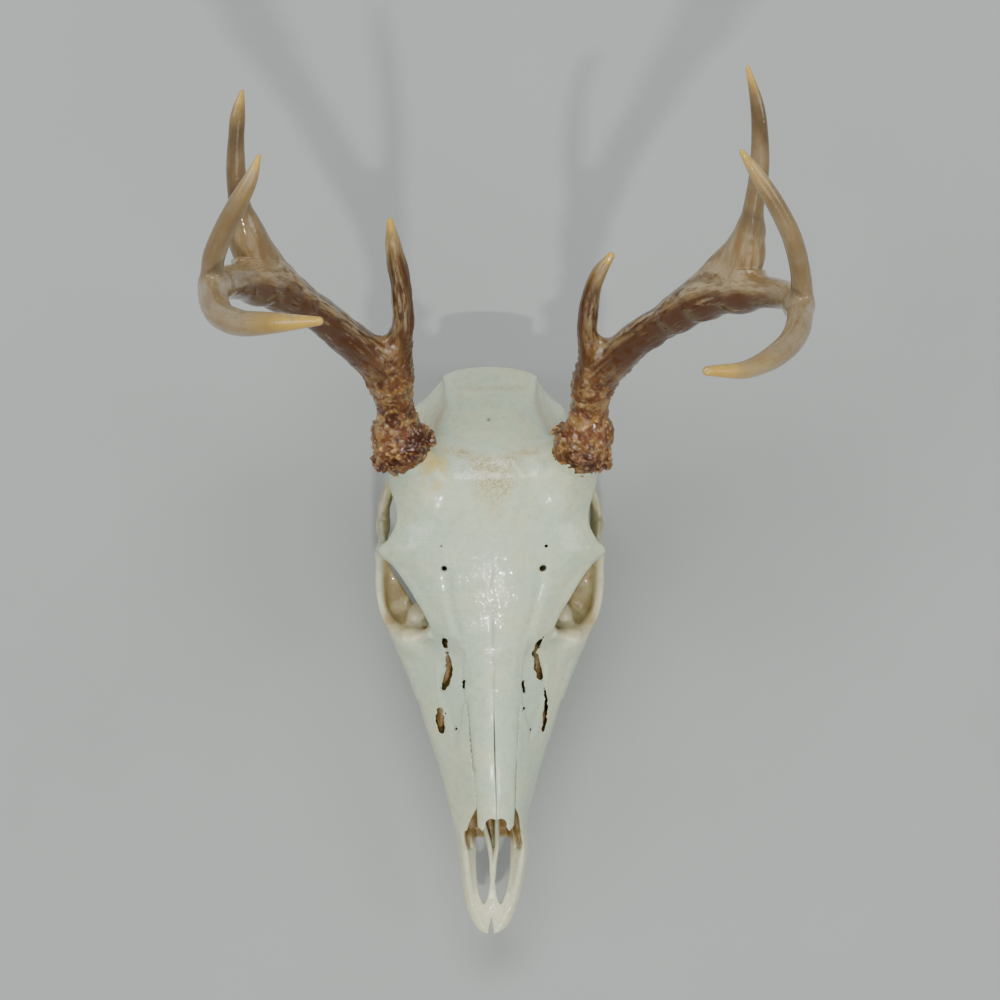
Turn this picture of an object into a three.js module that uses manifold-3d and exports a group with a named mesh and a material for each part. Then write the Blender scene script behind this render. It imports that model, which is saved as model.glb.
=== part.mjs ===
// A white-tailed buck's skull without its lower jaw, with a four-point antler on each side.
// Millimetres, +Z up, nose towards -Y, the animal's left towards +X. It lies as it rests on a flat
// surface: on its last cheek teeth and on the two paracondylar processes beside the neck joint,
// so the nose is raised. Every bone is a solid of its own, and neighbours keep a thin gap.

import * as THREE from "three";
import { mergeVertices } from "three/addons/utils/BufferGeometryUtils.js";
import Module from "manifold-3d";

const wasm = await Module();
wasm.setup();

// ---- Driving dimensions ----------------------------------------------------------------------

const GAP = 0.3; // between two bones that meet
const NOSE_Y = -220; // front of the premaxillae
const FACE_FRONT_Y = -163; // where the premaxillae meet the face
const FACE_BACK_Y = -47; // back of the maxillae, under the eyes
const NASION_Y = -78; // where the nasals meet the frontal bones
const CREST_Y = 67.6; // nuchal crest, the back of the skull
const NASAL_THICKNESS = 3.4;
const ROOF_PITCH = 0.34; // fall of the nasals' top from the midline to their edge
const REST_TILT = THREE.MathUtils.degToRad(11); // the tooth row against the surface it rests on
const NAPE_LEAN = THREE.MathUtils.degToRad(-16); // the nape below the crest against the vertical
const CROWN_HEIGHT = 11.6;
const TOOTH_ROW = { front: -122, back: -48.5 };
const BURR_RADIUS = 17;
const BEAM_STEPS = 24;
const BEAM_SIDES = 10;
const TINE_SIDES = 8;
const FAR = 400; // larger than the skull, for cutting blocks

// ---- Lines that run along the skull ------------------------------------------------------------

// A smooth line through [y, value] landmarks that never swings past them.
function along(...knots) {
  const slope = (a, b) => (b[1] - a[1]) / (b[0] - a[0]);
  const last = knots.length - 1;
  const tangents = knots.map((knot, i) => {
    if (i === 0) return slope(knots[0], knots[1]);
    if (i === last) return slope(knots[last - 1], knots[last]);
    const before = slope(knots[i - 1], knot);
    const after = slope(knot, knots[i + 1]);
    return before * after <= 0 ? 0 : (2 * before * after) / (before + after);
  });
  return (y) => {
    const clamped = THREE.MathUtils.clamp(y, knots[0][0], knots[last][0]);
    let i = 0;
    while (i < last - 1 && clamped > knots[i + 1][0]) i += 1;
    const span = knots[i + 1][0] - knots[i][0];
    const t = (clamped - knots[i][0]) / span;
    const s = 1 - t;
    const start = (1 + 2 * t) * s * s * knots[i][1] + t * s * s * span * tangents[i];
    return start + t * t * (3 - 2 * t) * knots[i + 1][1] - t * t * s * span * tangents[i + 1];
  };
}

// Height of the top of the skull on its midline: nasal tips, nasion, brow, bregma, nuchal crest.
const crown = along(
  [-165, 72.5], [-158, 74], [-116, 82], [-75, 88.5], [-42, 97],
  [-5, 103], [8, 103], [18, 100.5], [32, 92], [45, 80], [58, 64], [CREST_Y, 50],
);
const nasalEdge = along([-165, 8.8], [-150, 9.6], [-122, 11.6], [-101, 13], [-80, 17], [-60, 20]);
const cheek = {
  x: along([-163, 14.5], [-122, 20], [-101, 24.5], [-80, 31], [-65, 33], [-46, 24]),
  z: along([-163, 60], [-122, 65], [-101, 67], [-80, 68], [-46, 66]),
};
const face = {
  x: along(
    [-163, 19.4], [-152, 21.7], [-132, 26.9], [-111, 33.5],
    [-90, 39.4], [-76, 42.5], [-62, 38], [-46, 30],
  ),
  z: along([-163, 47], [-132, 47], [-90, 50], [-46, 50]),
};
const gum = {
  x: along([-163, 17], [-140, 20], [-122, 25], [-105, 30], [-85, 33.5], [-65, 34.5], [-46, 32]),
  z: along([-163, 36], [-140, 31], [-122, 25], [-48, 10.6], [-46, 10.4]),
};
const brow = {
  edge: along(
    [-84, 15], [-78, 17.5], [-70, 24], [-56, 31.5], [-38, 42], [-30, 47.5], [-24.5, 52.5],
    [-18, 49.5], [-8, 46.5], [2, 45.5], [14, 42], [24, 31],
  ),
  drop: along([-84, 7], [-64, 9], [-47, 11], [-30, 15], [-24.5, 20], [-18, 17], [0, 14], [24, 12]),
};
const braincase = {
  lineX: along(
    [-52, 13], [-35, 14], [-20, 19], [0, 27], [18, 30],
    [27, 27.5], [38, 24.5], [49, 22.5], [66, 19.5],
  ),
  lineDrop: along([-52, 12], [0, 10], [27, 4.5], [CREST_Y, 4]),
  sideX: along(
    [-52, 14], [-35, 15.5], [-20, 23], [-5, 31], [10, 35.5],
    [25, 37], [40, 36.5], [50, 33], [66, 22],
  ),
  sideZ: along([-52, 62], [10, 60], [25, 56], [40, 48], [58, 36], [66, 32]),
  lowX: along(
    [-52, 12], [-35, 13], [-20, 18], [-5, 26], [10, 31],
    [40, 33], [50, 31], [58, 27], [66, 20],
  ),
  lowZ: along([-52, 48], [-20, 42], [10, 36], [25, 31], [40, 24], [58, 17], [66, 16]),
  baseX: along([-52, 9], [-20, 10], [10, 14], [40, 16], [58, 17], [66, 13]),
  baseZ: along([-52, 40], [-35, 38], [-20, 35], [10, 28], [40, 18], [58, 10], [66, 10]),
};

// ---- Shaping -----------------------------------------------------------------------------------

// The manifold-3d solid of a closed geometry.
function solid(geometry) {
  const bare = new THREE.BufferGeometry();
  bare.setAttribute("position", geometry.getAttribute("position"));
  bare.setIndex(geometry.index);
  const merged = mergeVertices(bare, 1e-4);
  return new wasm.Manifold(
    new wasm.Mesh({
      numProp: 3,
      vertProperties: new Float32Array(merged.attributes.position.array),
      triVerts: new Uint32Array(merged.index.array),
    }),
  );
}

// A closed skin over rings of equally many points, each end closed by a fan.
function skin(rings) {
  const sides = rings[0].length;
  const centre = (ring) =>
    ring.reduce((sum, p) => sum.add(p), new THREE.Vector3()).divideScalar(sides);
  const points = [...rings.flat(), centre(rings[0]), centre(rings.at(-1))];
  const [firstHub, lastHub] = [points.length - 2, points.length - 1];
  const top = (rings.length - 1) * sides;
  const faces = [];
  for (let side = 0; side < sides; side += 1) {
    const next = (side + 1) % sides;
    for (let ring = 0; ring < rings.length - 1; ring += 1) {
      const [a, b] = [ring * sides + side, ring * sides + next];
      faces.push(a, b, b + sides, a, b + sides, a + sides);
    }
    faces.push(firstHub, next, side, lastHub, top + side, top + next);
  }
  const volume = faces.reduce((sum, _, i) => {
    if (i % 3) return sum;
    const [a, b, c] = faces.slice(i, i + 3).map((j) => points[j]);
    return sum + a.dot(new THREE.Vector3().crossVectors(b, c));
  }, 0);
  if (volume < 0) faces.reverse();
  return new THREE.BufferGeometry().setFromPoints(points).setIndex(faces);
}

// A mirrored loft along the skull. half(y) lists one side's [x, z] outline from the top midline to
// the bottom one. grow moves the whole skin outwards, to cut room for it in its neighbours.
function loft(stations, half, grow = 0) {
  const rings = stations.map((y, i) => {
    const outline = half(y);
    const middle = (outline[0][1] + outline.at(-1)[1]) / 2;
    const shift = i === 0 ? -grow : i === stations.length - 1 ? grow : 0;
    const place = (side) => ([x, z]) => {
      const away = new THREE.Vector2(x, z - middle).setLength(grow);
      return new THREE.Vector3(side * (x + away.x), y + shift, z + away.y);
    };
    const other = outline.slice(1, -1).reverse();
    return [...outline.map(place(1)), ...other.map(place(-1))];
  });
  return solid(skin(rings));
}

// A tapered round bar through [x, y, z, diameter] points, between two shares of its length.
function bar(points, sides, { from = 0, to = 1, steps = 16, grow = 0 } = {}) {
  const path = new THREE.CatmullRomCurve3(points.map(([x, y, z]) => new THREE.Vector3(x, y, z)));
  const widths = new THREE.SplineCurve(points.map((p, i) => new THREE.Vector2(i, p[3] / 2)));
  const frames = path.computeFrenetFrames(steps);
  const rings = [];
  for (let i = 0; i <= steps; i += 1) {
    const share = i / steps;
    if (share < from - 1e-9 || share > to + 1e-9) continue;
    const shift = share === from && from > 0 ? GAP / 2 : share === to && to < 1 ? -GAP / 2 : 0;
    const centre = path.getPointAt(share).addScaledVector(frames.tangents[i], shift);
    const radius = widths.getPoint(path.getUtoTmapping(share)).y + grow;
    rings.push(
      Array.from({ length: sides }, (_, side) => {
        const angle = (side / sides) * 2 * Math.PI;
        return centre
          .clone()
          .addScaledVector(frames.normals[i], radius * Math.cos(angle))
          .addScaledVector(frames.binormals[i], radius * Math.sin(angle));
      }),
    );
  }
  return solid(skin(rings));
}

// A flattened bar with an upright oval section, through [x, y, z, half thickness, half height].
function blade(points, steps = 8, sides = 8) {
  const path = new THREE.CatmullRomCurve3(points.map(([x, y, z]) => new THREE.Vector3(x, y, z)));
  const sizes = new THREE.SplineCurve(points.map((p) => new THREE.Vector2(p[3], p[4])));
  const up = new THREE.Vector3(0, 0, 1);
  const rings = Array.from({ length: steps + 1 }, (_, i) => {
    const t = i / steps;
    const centre = path.getPoint(t);
    const size = sizes.getPoint(t);
    const across = new THREE.Vector3().crossVectors(path.getTangent(t), up).normalize();
    return Array.from({ length: sides }, (_, side) => {
      const angle = ((side + 0.5) / sides) * 2 * Math.PI;
      return centre
        .clone()
        .addScaledVector(across, size.x * Math.cos(angle))
        .addScaledVector(up, size.y * Math.sin(angle));
    });
  });
  return solid(skin(rings));
}

function ellipsoid([x, y, z], [rx, ry, rz], turn = 0) {
  const ball = new THREE.SphereGeometry(1, 12, 7).scale(rx, ry, rz).rotateZ(turn);
  return solid(ball.translate(x, y, z));
}

function block([x0, y0, z0], [x1, y1, z1]) {
  const box = new THREE.BoxGeometry(x1 - x0, y1 - y0, z1 - z0);
  return solid(box.translate((x0 + x1) / 2, (y0 + y1) / 2, (z0 + z1) / 2));
}

const join = (...parts) => parts.reduce((whole, part) => whole.add(part));
const cut = (whole, ...tools) => tools.reduce((left, tool) => left.subtract(tool), whole);
const onSide = (side, points) => points.map(([x, ...rest]) => [side * x, ...rest]);
const bothSides = (make) => [make(1), make(-1)];
const range = (from, to, count) =>
  Array.from({ length: count + 1 }, (_, i) => from + ((to - from) * i) / count);

// Everything on one side of the midline, clear of it by half a gap.
function sideOf(side, clearance = GAP / 2) {
  const [low, high] = side > 0 ? [clearance, FAR] : [-FAR, -clearance];
  return block([low, -FAR, -FAR], [high, FAR, FAR]);
}
const belowFloor = block([-FAR, -FAR, -FAR], [FAR, FAR, 0]);

// ---- The face: nasals, maxillae with their teeth, premaxillae ----------------------------------

function faceOutline(y) {
  const top = crown(y);
  const edge = nasalEdge(y);
  const drop = ROOF_PITCH * edge + 0.8;
  const gumX = gum.x(y);
  const gumZ = gum.z(y);
  return [
    [0, top], [edge * 0.6, top - drop * 0.3], [edge, top - drop],
    [cheek.x(y), cheek.z(y)], [face.x(y), face.z(y)],
    [(face.x(y) + gumX) / 2, (face.z(y) + gumZ) / 2],
    [gumX, gumZ], [gumX * 0.66, gumZ + 1.2], [gumX * 0.3, gumZ + 5.5], [0, gumZ + 6.5], // palate
  ];
}
const faceSkin = (grow) => loft(range(FACE_FRONT_Y, FACE_BACK_Y, 10), faceOutline, grow);

// The eye's socket: its outer end opens sideways, and its inner end stops short of the midline.
const socket = (side) => ellipsoid([side * 45, -46.5, 65], [29, 20.5, 21]);

// The airway behind the nostrils, and the hollow in front of each eye.
const airway = blade(
  [[0, -180, 57, 12.4, 12.5], [0, -150, 58, 12.4, 12.5], [0, -125, 60, 12, 12], [0, -104, 62, 7, 8]],
  6,
  8,
);
const tearHollow = (side) => ellipsoid([side * 23, -96, 77], [5, 23, 8], side * 0.1);

// The nasals overhang the nostrils: the face's front is open between them and the premaxillae.
const NASAL_TIP_Y = -158;
const nostril = block([-FAR, -FAR, 59.5], [FAR, -151, FAR]);
const aheadOfNasals = block([-FAR, -FAR, -FAR], [FAR, NASAL_TIP_Y, FAR]);

// One nasal bone's share of the face, as a roof-shaped wedge over it.
function nasalShare(side, grow) {
  const outline = (y) => {
    const edge = nasalEdge(y) + grow;
    const top = crown(y);
    const bottom = top - NASAL_THICKNESS - grow;
    return [[0, FAR], [edge, FAR], [edge, bottom - ROOF_PITCH * edge], [0, bottom]];
  };
  return loft(range(-170, NASION_Y + grow, 5), outline).intersect(sideOf(side, -grow));
}

// The crowns of one tooth row. Premolars have one lobe and molars two, set along the gum line.
function teeth(side) {
  const lobes = [9.6, 10.4, 10.4, 6.6, 6.6, 7.4, 7.4, 7.4, 7.4];
  const row = TOOTH_ROW.back - TOOTH_ROW.front;
  const scale = row / lobes.reduce((sum, length) => sum + length, 0);
  let start = TOOTH_ROW.front;
  return lobes.map((lobe) => {
    const length = lobe * scale;
    const y = start + length / 2;
    start += length;
    const width = 0.36 * gum.x(y) + 1;
    const crownShape = new THREE.CylinderGeometry(0.54, 0.47, CROWN_HEIGHT + 4, 7)
      .rotateX(Math.PI / 2)
      .scale(width, length, 1)
      .rotateX(-REST_TILT)
      .translate(side * (gum.x(y) - width / 2 - 0.6), y, gum.z(y) + 2 - CROWN_HEIGHT / 2);
    return solid(crownShape);
  });
}

function maxilla(side) {
  const hollows = [socket(side), airway, tearHollow(side), nostril];
  const neighbours = [nasalShare(side, GAP), roof(GAP)];
  const bone = cut(faceSkin(0).intersect(sideOf(side)), ...hollows, ...neighbours);
  return cut(join(bone, ...teeth(side)), belowFloor);
}

function nasal(side) {
  const bone = faceSkin(0).intersect(nasalShare(side, 0)).intersect(sideOf(side));
  return cut(bone, airway, aheadOfNasals, roof(GAP));
}

// A premaxilla: the flat toothless tip, the rail that runs back to the face, and the thin bar
// beside the midline, with the long nose slit between the rail and the bar.
function premaxilla(side) {
  const outline = [
    [0.4, -202], [2.4, -203.5], [5.2, -208], [7.6, -203], [13.4, -203.5],
    [10.7, -211.4], [7.9, -216.5], [3.4, NOSE_Y], [1.5, NOSE_Y + 1], [0.7, -213], [0.4, -210],
  ];
  const plan = new THREE.Shape(onSide(side, outline).map(([x, y]) => new THREE.Vector2(x, y)));
  const tipPlate = new THREE.ExtrudeGeometry(plan, { depth: 4.6, bevelEnabled: false });
  const tip = solid(tipPlate.translate(0, 0, 39.4));
  const rail = blade(onSide(side, [
    [15.4, FACE_FRONT_Y + 2, 48, 4, 11.5], [14, -173, 47, 4.2, 10], [12.9, -185, 45.8, 3.9, 8],
    [11.4, -196, 44, 3.5, 5.6], [9.3, -205, 42, 3.6, 3],
  ]));
  const septum = blade(onSide(side, [
    [4.4, FACE_FRONT_Y + 2, 43, 0.9, 3.4], [2.2, -172, 42.5, 0.8, 3], [1.2, -182, 42, 0.8, 2.4],
    [1.3, -192, 41.8, 1.1, 2.2], [2, -204, 41.6, 1.8, 2.1],
  ]));
  const behindFaceFront = block([-FAR, FACE_FRONT_Y - GAP, -FAR], [FAR, FAR, FAR]);
  return cut(join(tip, rail, septum).intersect(sideOf(side)), behindFaceFront);
}

// ---- The skull's roof, sides and base ----------------------------------------------------------

// The frontal bones: a plate over the eyes from the nasals to just behind the pedicles.
function roof(grow = 0) {
  const outline = (y) => {
    const edge = brow.edge(y);
    const top = crown(y);
    const drop = brow.drop(y);
    return [
      [0, top], [edge * 0.35, top - drop * 0.08], [edge * 0.72, top - drop * 0.36],
      [edge, top - drop], [edge - 0.6, top - drop - 3.6],
      [edge * 0.7, top - drop - 5.5], [edge * 0.3, top - drop - 6], [0, top - drop - 6],
    ];
  };
  const stations = [-84, -77, -70, -63, -55, -46, -38, -30, -24.5, -19, -8, 4, 14, 24];
  return loft(stations, outline, grow);
}

// The short bone stub under each antler, up to the plane where the antler sits.
function pedicle(antler) {
  const root = antler.seat.clone().addScaledVector(antler.axis, -22);
  const end = antler.seat.clone().addScaledVector(antler.axis, -GAP);
  return bar([[...root.toArray(), 29], [...end.toArray(), 25]], BEAM_SIDES, { steps: 2 });
}

const frontal = () => join(roof(), ...antlers.map(pedicle));

function braincaseOutline(y) {
  const b = braincase;
  const top = crown(y);
  const shoulder = top - b.lineDrop(y);
  return [
    [0, top], [b.lineX(y) * 0.6, top - b.lineDrop(y) * 0.3], [b.lineX(y), shoulder],
    [(b.lineX(y) + b.sideX(y)) / 2 + 2, (shoulder + b.sideZ(y)) / 2 + 2], [b.sideX(y), b.sideZ(y)],
    [b.lowX(y), b.lowZ(y)], [b.baseX(y), b.baseZ(y)], [0, b.baseZ(y) + 0.5],
  ];
}
const braincaseSkin = (grow) => loft(range(FACE_BACK_Y + GAP, CREST_Y, 11), braincaseOutline, grow);

// Everything behind the sloping seam between the parietals and the occipital bone.
function behindSeam(shift) {
  const backBlock = new THREE.BoxGeometry(FAR, FAR, FAR).translate(0, FAR / 2, 0).rotateX(-0.3);
  return solid(backBlock.translate(0, 40 + shift, 40));
}

// The cheek arch is parted across at ARCH_SEAM_Y. Its back third is rooted in front of the ear.
const ARCH_SEAM_Y = -8;
const beforeArchSeam = block([-FAR, -FAR, -FAR], [FAR, ARCH_SEAM_Y - GAP / 2, FAR]);
const behindArchSeam = block([-FAR, ARCH_SEAM_Y + GAP / 2, -FAR], [FAR, FAR, FAR]);
function archRoot(side) {
  const route = [[53.4, -12, 51, 2.4, 5], [52, 3, 52, 2.5, 5], [47, 13, 52, 3.4, 5.5], [36, 22, 50, 5, 7]];
  return blade(onSide(side, route), 6).intersect(behindArchSeam);
}
const earCapsule = (side) => ellipsoid([side * 19, 19, 25], [7, 11, 9]);
const earTube = (side) => bar(onSide(side, [[24, 26, 38, 13], [38, 30, 44, 10]]), 8, { steps: 1 });
const wingPlate = (side) =>
  blade(onSide(side, [[12.5, FACE_BACK_Y + 2, 33, 1.8, 9], [10.5, -18, 32, 1.8, 8]]), 2);

function cranium() {
  const trimmed = cut(braincaseSkin(0), roof(GAP), ...bothSides(socket));
  const parts = [archRoot, earCapsule, earTube, wingPlate].flatMap(bothSides);
  return cut(join(trimmed, ...parts), behindSeam(-GAP), ...antlers.map(pedicleRoom));
}

function occipital() {
  const condyle = (side) => ellipsoid([side * 12.5, 56.5, 14], [8.5, 11, 12]);
  const process = (side) =>
    bar(onSide(side, [[27, 48, 26, 13], [26, 43, 12, 9.5], [25, 40, -1.2, 6.4]]), 10, { steps: 4 });
  const slope = new THREE.BoxGeometry(FAR, FAR, FAR).translate(0, FAR / 2, 0).rotateX(NAPE_LEAN);
  const nape = solid(slope.translate(0, CREST_Y - 0.5, 47));
  const canal = blade([[0, 44, 17, 8, 7.5], [0, 80, 19, 9, 8]], 2, 12);
  const bone = cut(braincaseSkin(0).intersect(behindSeam(0)), nape);
  const processes = join(...bothSides(process)).intersect(behindSeam(0));
  return cut(join(bone, ...bothSides(condyle), processes), canal, belowFloor);
}

// The cheekbone: the plate under the eye, the bar behind it and the front of the cheek arch.
function zygomatic(side) {
  const plate = blade(onSide(side, [
    [36.5, -90, 47, 4.5, 6], [42.6, -74, 47, 4.4, 10], [49.2, -60, 45, 3.6, 10.5], [52.4, -46, 45, 3, 9],
    [53.2, -28, 48, 2.6, 7.5], [53.4, -6, 51, 2.4, 5],
  ]), 9);
  const arch = plate.intersect(beforeArchSeam);
  const strutRoute = [[53, -25, 50, 7], [53.4, -25, 64, 5.6], [51, -25.5, 82, 7]];
  const strut = bar(onSide(side, strutRoute), 8, { steps: 4 });
  const rimX = 46; // the plate stands proud of the socket's hollow outside this
  const hollow = socket(side).intersect(block([-rimX, -FAR, -FAR], [rimX, FAR, FAR]));
  return cut(join(arch, strut), faceSkin(GAP), braincaseSkin(GAP), roof(GAP), hollow);
}

// ---- The antlers -------------------------------------------------------------------------------

// Each list runs from the root to the point, as [x, y, z, diameter]. forks are the shares of the
// main beam's length where it is parted, just past its first and second fork.
const antlers = [
  {
    name: "right",
    seat: new THREE.Vector3(-43.3, 24.2, 104),
    axis: new THREE.Vector3(-0.5, 0.78, 0.37).normalize(),
    beam: [
      [-43.3, 24.2, 104, 25], [-53, 60.8, 128, 21], [-69.3, 74.7, 150, 18], [-87, 87.5, 178, 17],
      [-106.6, 94.8, 212, 16.5], [-119.7, 93.8, 245, 15.5], [-124.7, 87.6, 275, 13.8],
      [-121, 76.4, 303, 11.8], [-96.4, 69.7, 344, 8.3], [-78.7, 69.4, 360, 3.5],
    ],
    forks: [6 / BEAM_STEPS, 15 / BEAM_STEPS],
    tines: {
      brow_tine: [
        [-49, 58, 126, 14], [-44.6, 83.3, 148, 10.8], [-48.9, 114.4, 175, 8.2], [-50.8, 126.7, 184, 3.2],
      ],
      second_tine: [
        [-111, 94, 212, 18], [-113.7, 115.7, 228, 12.6], [-117, 141.6, 248, 8.6],
        [-116, 160, 260, 6.6], [-113.4, 172.3, 267, 2.1],
      ],
      third_tine: [
        [-124.6, 87.6, 270, 10.5], [-124.7, 99.1, 282, 9.6], [-113.5, 120.5, 304, 8.2],
        [-103.9, 138.7, 318, 2],
      ],
    },
  },
  {
    name: "left",
    seat: new THREE.Vector3(41.6, 24.3, 104),
    axis: new THREE.Vector3(0.5, 0.78, 0.37).normalize(),
    beam: [
      [41.6, 24.3, 104, 25], [48.5, 58.2, 127, 20.5], [58.2, 69.5, 147, 18], [72.6, 80.6, 172, 16.7],
      [88.7, 88.8, 200, 16.2], [105.3, 91.2, 228, 15], [119, 86.5, 262, 12.4],
      [117.2, 71, 302, 11.1], [90.6, 51.9, 345, 7.5], [72.2, 50.3, 362, 3.9],
    ],
    forks: [6 / BEAM_STEPS, 14 / BEAM_STEPS],
    tines: {
      brow_tine: [
        [45, 56, 126, 14], [41.8, 79.9, 146, 9.9], [45.2, 103.9, 168, 7.4], [50.7, 112.2, 174, 3.7],
      ],
      second_tine: [
        [105, 92, 222, 18], [106.1, 111.6, 235, 12.3], [107.5, 139.7, 256, 8.6],
        [104.6, 167.6, 271, 5.9], [100, 182.4, 276, 2.1],
      ],
      third_tine: [
        [119.6, 84, 269, 9.6], [120.4, 92.7, 290, 8.8], [106.2, 120.3, 315, 7.7], [90.5, 140.1, 328, 2.4],
      ],
    },
  },
];

// The knobbly ring round an antler's foot, a squat turned disc set square to the pedicle.
function burr(antler) {
  const r = BURR_RADIUS;
  const profile = [[0, 0], [r * 0.8, 0], [r, 3], [r * 0.95, 6.5], [r * 0.66, 10], [0, 10]];
  const disc = new THREE.LatheGeometry(profile.map(([x, y]) => new THREE.Vector2(x, y)), 14);
  const turn = new THREE.Quaternion().setFromUnitVectors(new THREE.Vector3(0, 1, 0), antler.axis);
  return solid(disc.applyQuaternion(turn).translate(...antler.seat.toArray()));
}

// Room round the antler's foot and its pedicle, cut from the bones that they pass.
function pedicleRoom(antler) {
  const root = antler.seat.clone().addScaledVector(antler.axis, -22);
  const end = antler.seat.clone().addScaledVector(antler.axis, 30);
  return bar([[...root.toArray(), 30], [...end.toArray(), 30]], BEAM_SIDES, { steps: 1, grow: GAP });
}

function antlerParts(antler) {
  const steps = BEAM_STEPS;
  const [first, second] = antler.forks;
  const foot = new THREE.BoxGeometry(FAR, FAR, FAR).translate(0, -FAR / 2, 0);
  const turn = new THREE.Quaternion().setFromUnitVectors(new THREE.Vector3(0, 1, 0), antler.axis);
  const belowSeat = solid(foot.applyQuaternion(turn).translate(...antler.seat.toArray()));
  const root = bar(antler.beam, BEAM_SIDES, { steps, to: first });
  const parts = {
    antler_base: cut(join(root, burr(antler)), belowSeat),
    beam_middle: bar(antler.beam, BEAM_SIDES, { steps, from: first, to: second }),
    beam_end: bar(antler.beam, BEAM_SIDES, { steps, from: second }),
  };
  const wholeBeam = bar(antler.beam, BEAM_SIDES, { steps, grow: GAP });
  for (const [name, points] of Object.entries(antler.tines)) {
    parts[name] = cut(bar(points, TINE_SIDES, { steps: 8 }), wholeBeam);
  }
  return parts;
}

// ---- Materials and assembly --------------------------------------------------------------------

const bone = new THREE.MeshStandardMaterial({ color: 0xd9d8cb, roughness: 0.35, metalness: 0 });
const antlerHorn = new THREE.MeshStandardMaterial({ color: 0x7d5a38, roughness: 0.4, metalness: 0 });

function mesh(name, shape, material) {
  const made = shape.getMesh();
  const geometry = new THREE.BufferGeometry();
  geometry.setAttribute("position", new THREE.BufferAttribute(made.vertProperties, 3));
  geometry.setIndex(new THREE.BufferAttribute(made.triVerts, 1));
  geometry.computeVertexNormals();
  const piece = new THREE.Mesh(geometry, material);
  piece.name = name;
  return piece;
}

const skull = new THREE.Group();
for (const [word, side] of [["left", 1], ["right", -1]]) {
  skull.add(mesh(`nasal_${word}`, nasal(side), bone));
  skull.add(mesh(`maxilla_${word}`, maxilla(side), bone));
  skull.add(mesh(`premaxilla_${word}`, premaxilla(side), bone));
  skull.add(mesh(`zygomatic_${word}`, zygomatic(side), bone));
}
skull.add(mesh("frontal", frontal(), bone));
skull.add(mesh("braincase", cranium(), bone));
skull.add(mesh("occipital", occipital(), bone));
for (const antler of antlers) {
  for (const [name, shape] of Object.entries(antlerParts(antler))) {
    skull.add(mesh(`${name}_${antler.name}`, shape, antlerHorn));
  }
}

// The origin is under the middle of the whole object, on the surface that it rests on.
const bounds = new THREE.Box3().setFromObject(skull);
const middle = bounds.getCenter(new THREE.Vector3());
skull.position.set(-middle.x, -middle.y, -bounds.min.z);

const part = new THREE.Group();
part.add(skull);
export default part;
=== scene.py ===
"""A white-tailed buck's skull with both antlers, varnished, lying on a plain pale floor.

The skull and the antlers are shaped as clay: a block of space in which every point knows its depth
under the surface, negative inside. Bone is added and hollows are carved as smooth formulas of
x, y and z, and the surface where the depth is zero becomes the mesh. Lengths are millimetres in the
skull's own frame (midline x = 0, nose towards -y, floor z = 0) until a piece is made.
"""

import math

import bpy
import numpy as np
from mathutils import Matrix, Vector


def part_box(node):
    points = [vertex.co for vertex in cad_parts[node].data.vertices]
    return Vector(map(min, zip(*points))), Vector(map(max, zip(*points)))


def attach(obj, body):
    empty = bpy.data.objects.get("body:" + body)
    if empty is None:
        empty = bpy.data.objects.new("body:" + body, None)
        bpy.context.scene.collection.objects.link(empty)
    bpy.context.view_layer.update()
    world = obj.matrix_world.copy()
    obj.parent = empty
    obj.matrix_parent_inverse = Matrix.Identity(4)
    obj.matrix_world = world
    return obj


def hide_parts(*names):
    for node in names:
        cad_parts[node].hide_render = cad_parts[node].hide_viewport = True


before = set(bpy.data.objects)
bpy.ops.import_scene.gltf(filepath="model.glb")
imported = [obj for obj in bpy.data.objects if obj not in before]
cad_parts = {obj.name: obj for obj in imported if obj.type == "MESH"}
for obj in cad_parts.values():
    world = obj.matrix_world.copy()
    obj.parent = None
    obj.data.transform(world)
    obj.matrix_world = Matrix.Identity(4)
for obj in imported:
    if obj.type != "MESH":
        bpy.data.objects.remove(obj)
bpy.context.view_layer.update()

MM = 0.001

# ---- Driving dimensions ----

NOSE_Y = -220.0
NASAL_TIP_Y = -158.0
MUZZLE_SEAM_Y = -150.0  # the skull is four pieces, parted at these three
CHEEK_SEAM_Y = -94.0
FOREHEAD_SEAM_Y = -20.0
CREST_Y = 67.6
ROOF_PITCH = 0.34  # fall of the nasals' top from the midline to their edge
SEAM_LAP = 0.3  # neighbouring pieces share this much bone, so that no seam shows


# Where the skull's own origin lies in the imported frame: the nasals meet on its midline, and the
# premaxillae reach to NOSE_Y.
midline = (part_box("nasal_left")[0].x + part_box("nasal_right")[1].x) / 2
nose_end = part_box("premaxilla_left")[0].y
SHIFT = np.array([midline / MM, nose_end / MM - NOSE_Y, 0.0])


# ---- Lines that run along the skull ----


def along(*knots):
    """A line through (y, value) landmarks, as cubic pieces whose slope at each landmark is the
    harmonic mean of its neighbours' slopes, so that it never swings past them."""
    ys, values = np.array(knots, float).T
    chord = np.diff(values) / np.diff(ys)
    product = chord[:-1] * chord[1:]
    total = np.where(chord[:-1] + chord[1:] == 0, 1, chord[:-1] + chord[1:])
    middle = np.where(product <= 0, 0, 2 * product / total)
    slope = np.concatenate([chord[:1], middle, chord[-1:]])

    def line(y):
        y = np.clip(y, ys[0], ys[-1])
        i = np.clip(np.searchsorted(ys, y, side="right") - 1, 0, len(ys) - 2)
        span = ys[i + 1] - ys[i]
        t = (y - ys[i]) / span
        s = 1 - t
        near = (1 + 2 * t) * s * s * values[i] + t * s * s * span * slope[i]
        return near + t * t * (3 - 2 * t) * values[i + 1] - t * t * s * span * slope[i + 1]

    return line


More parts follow.
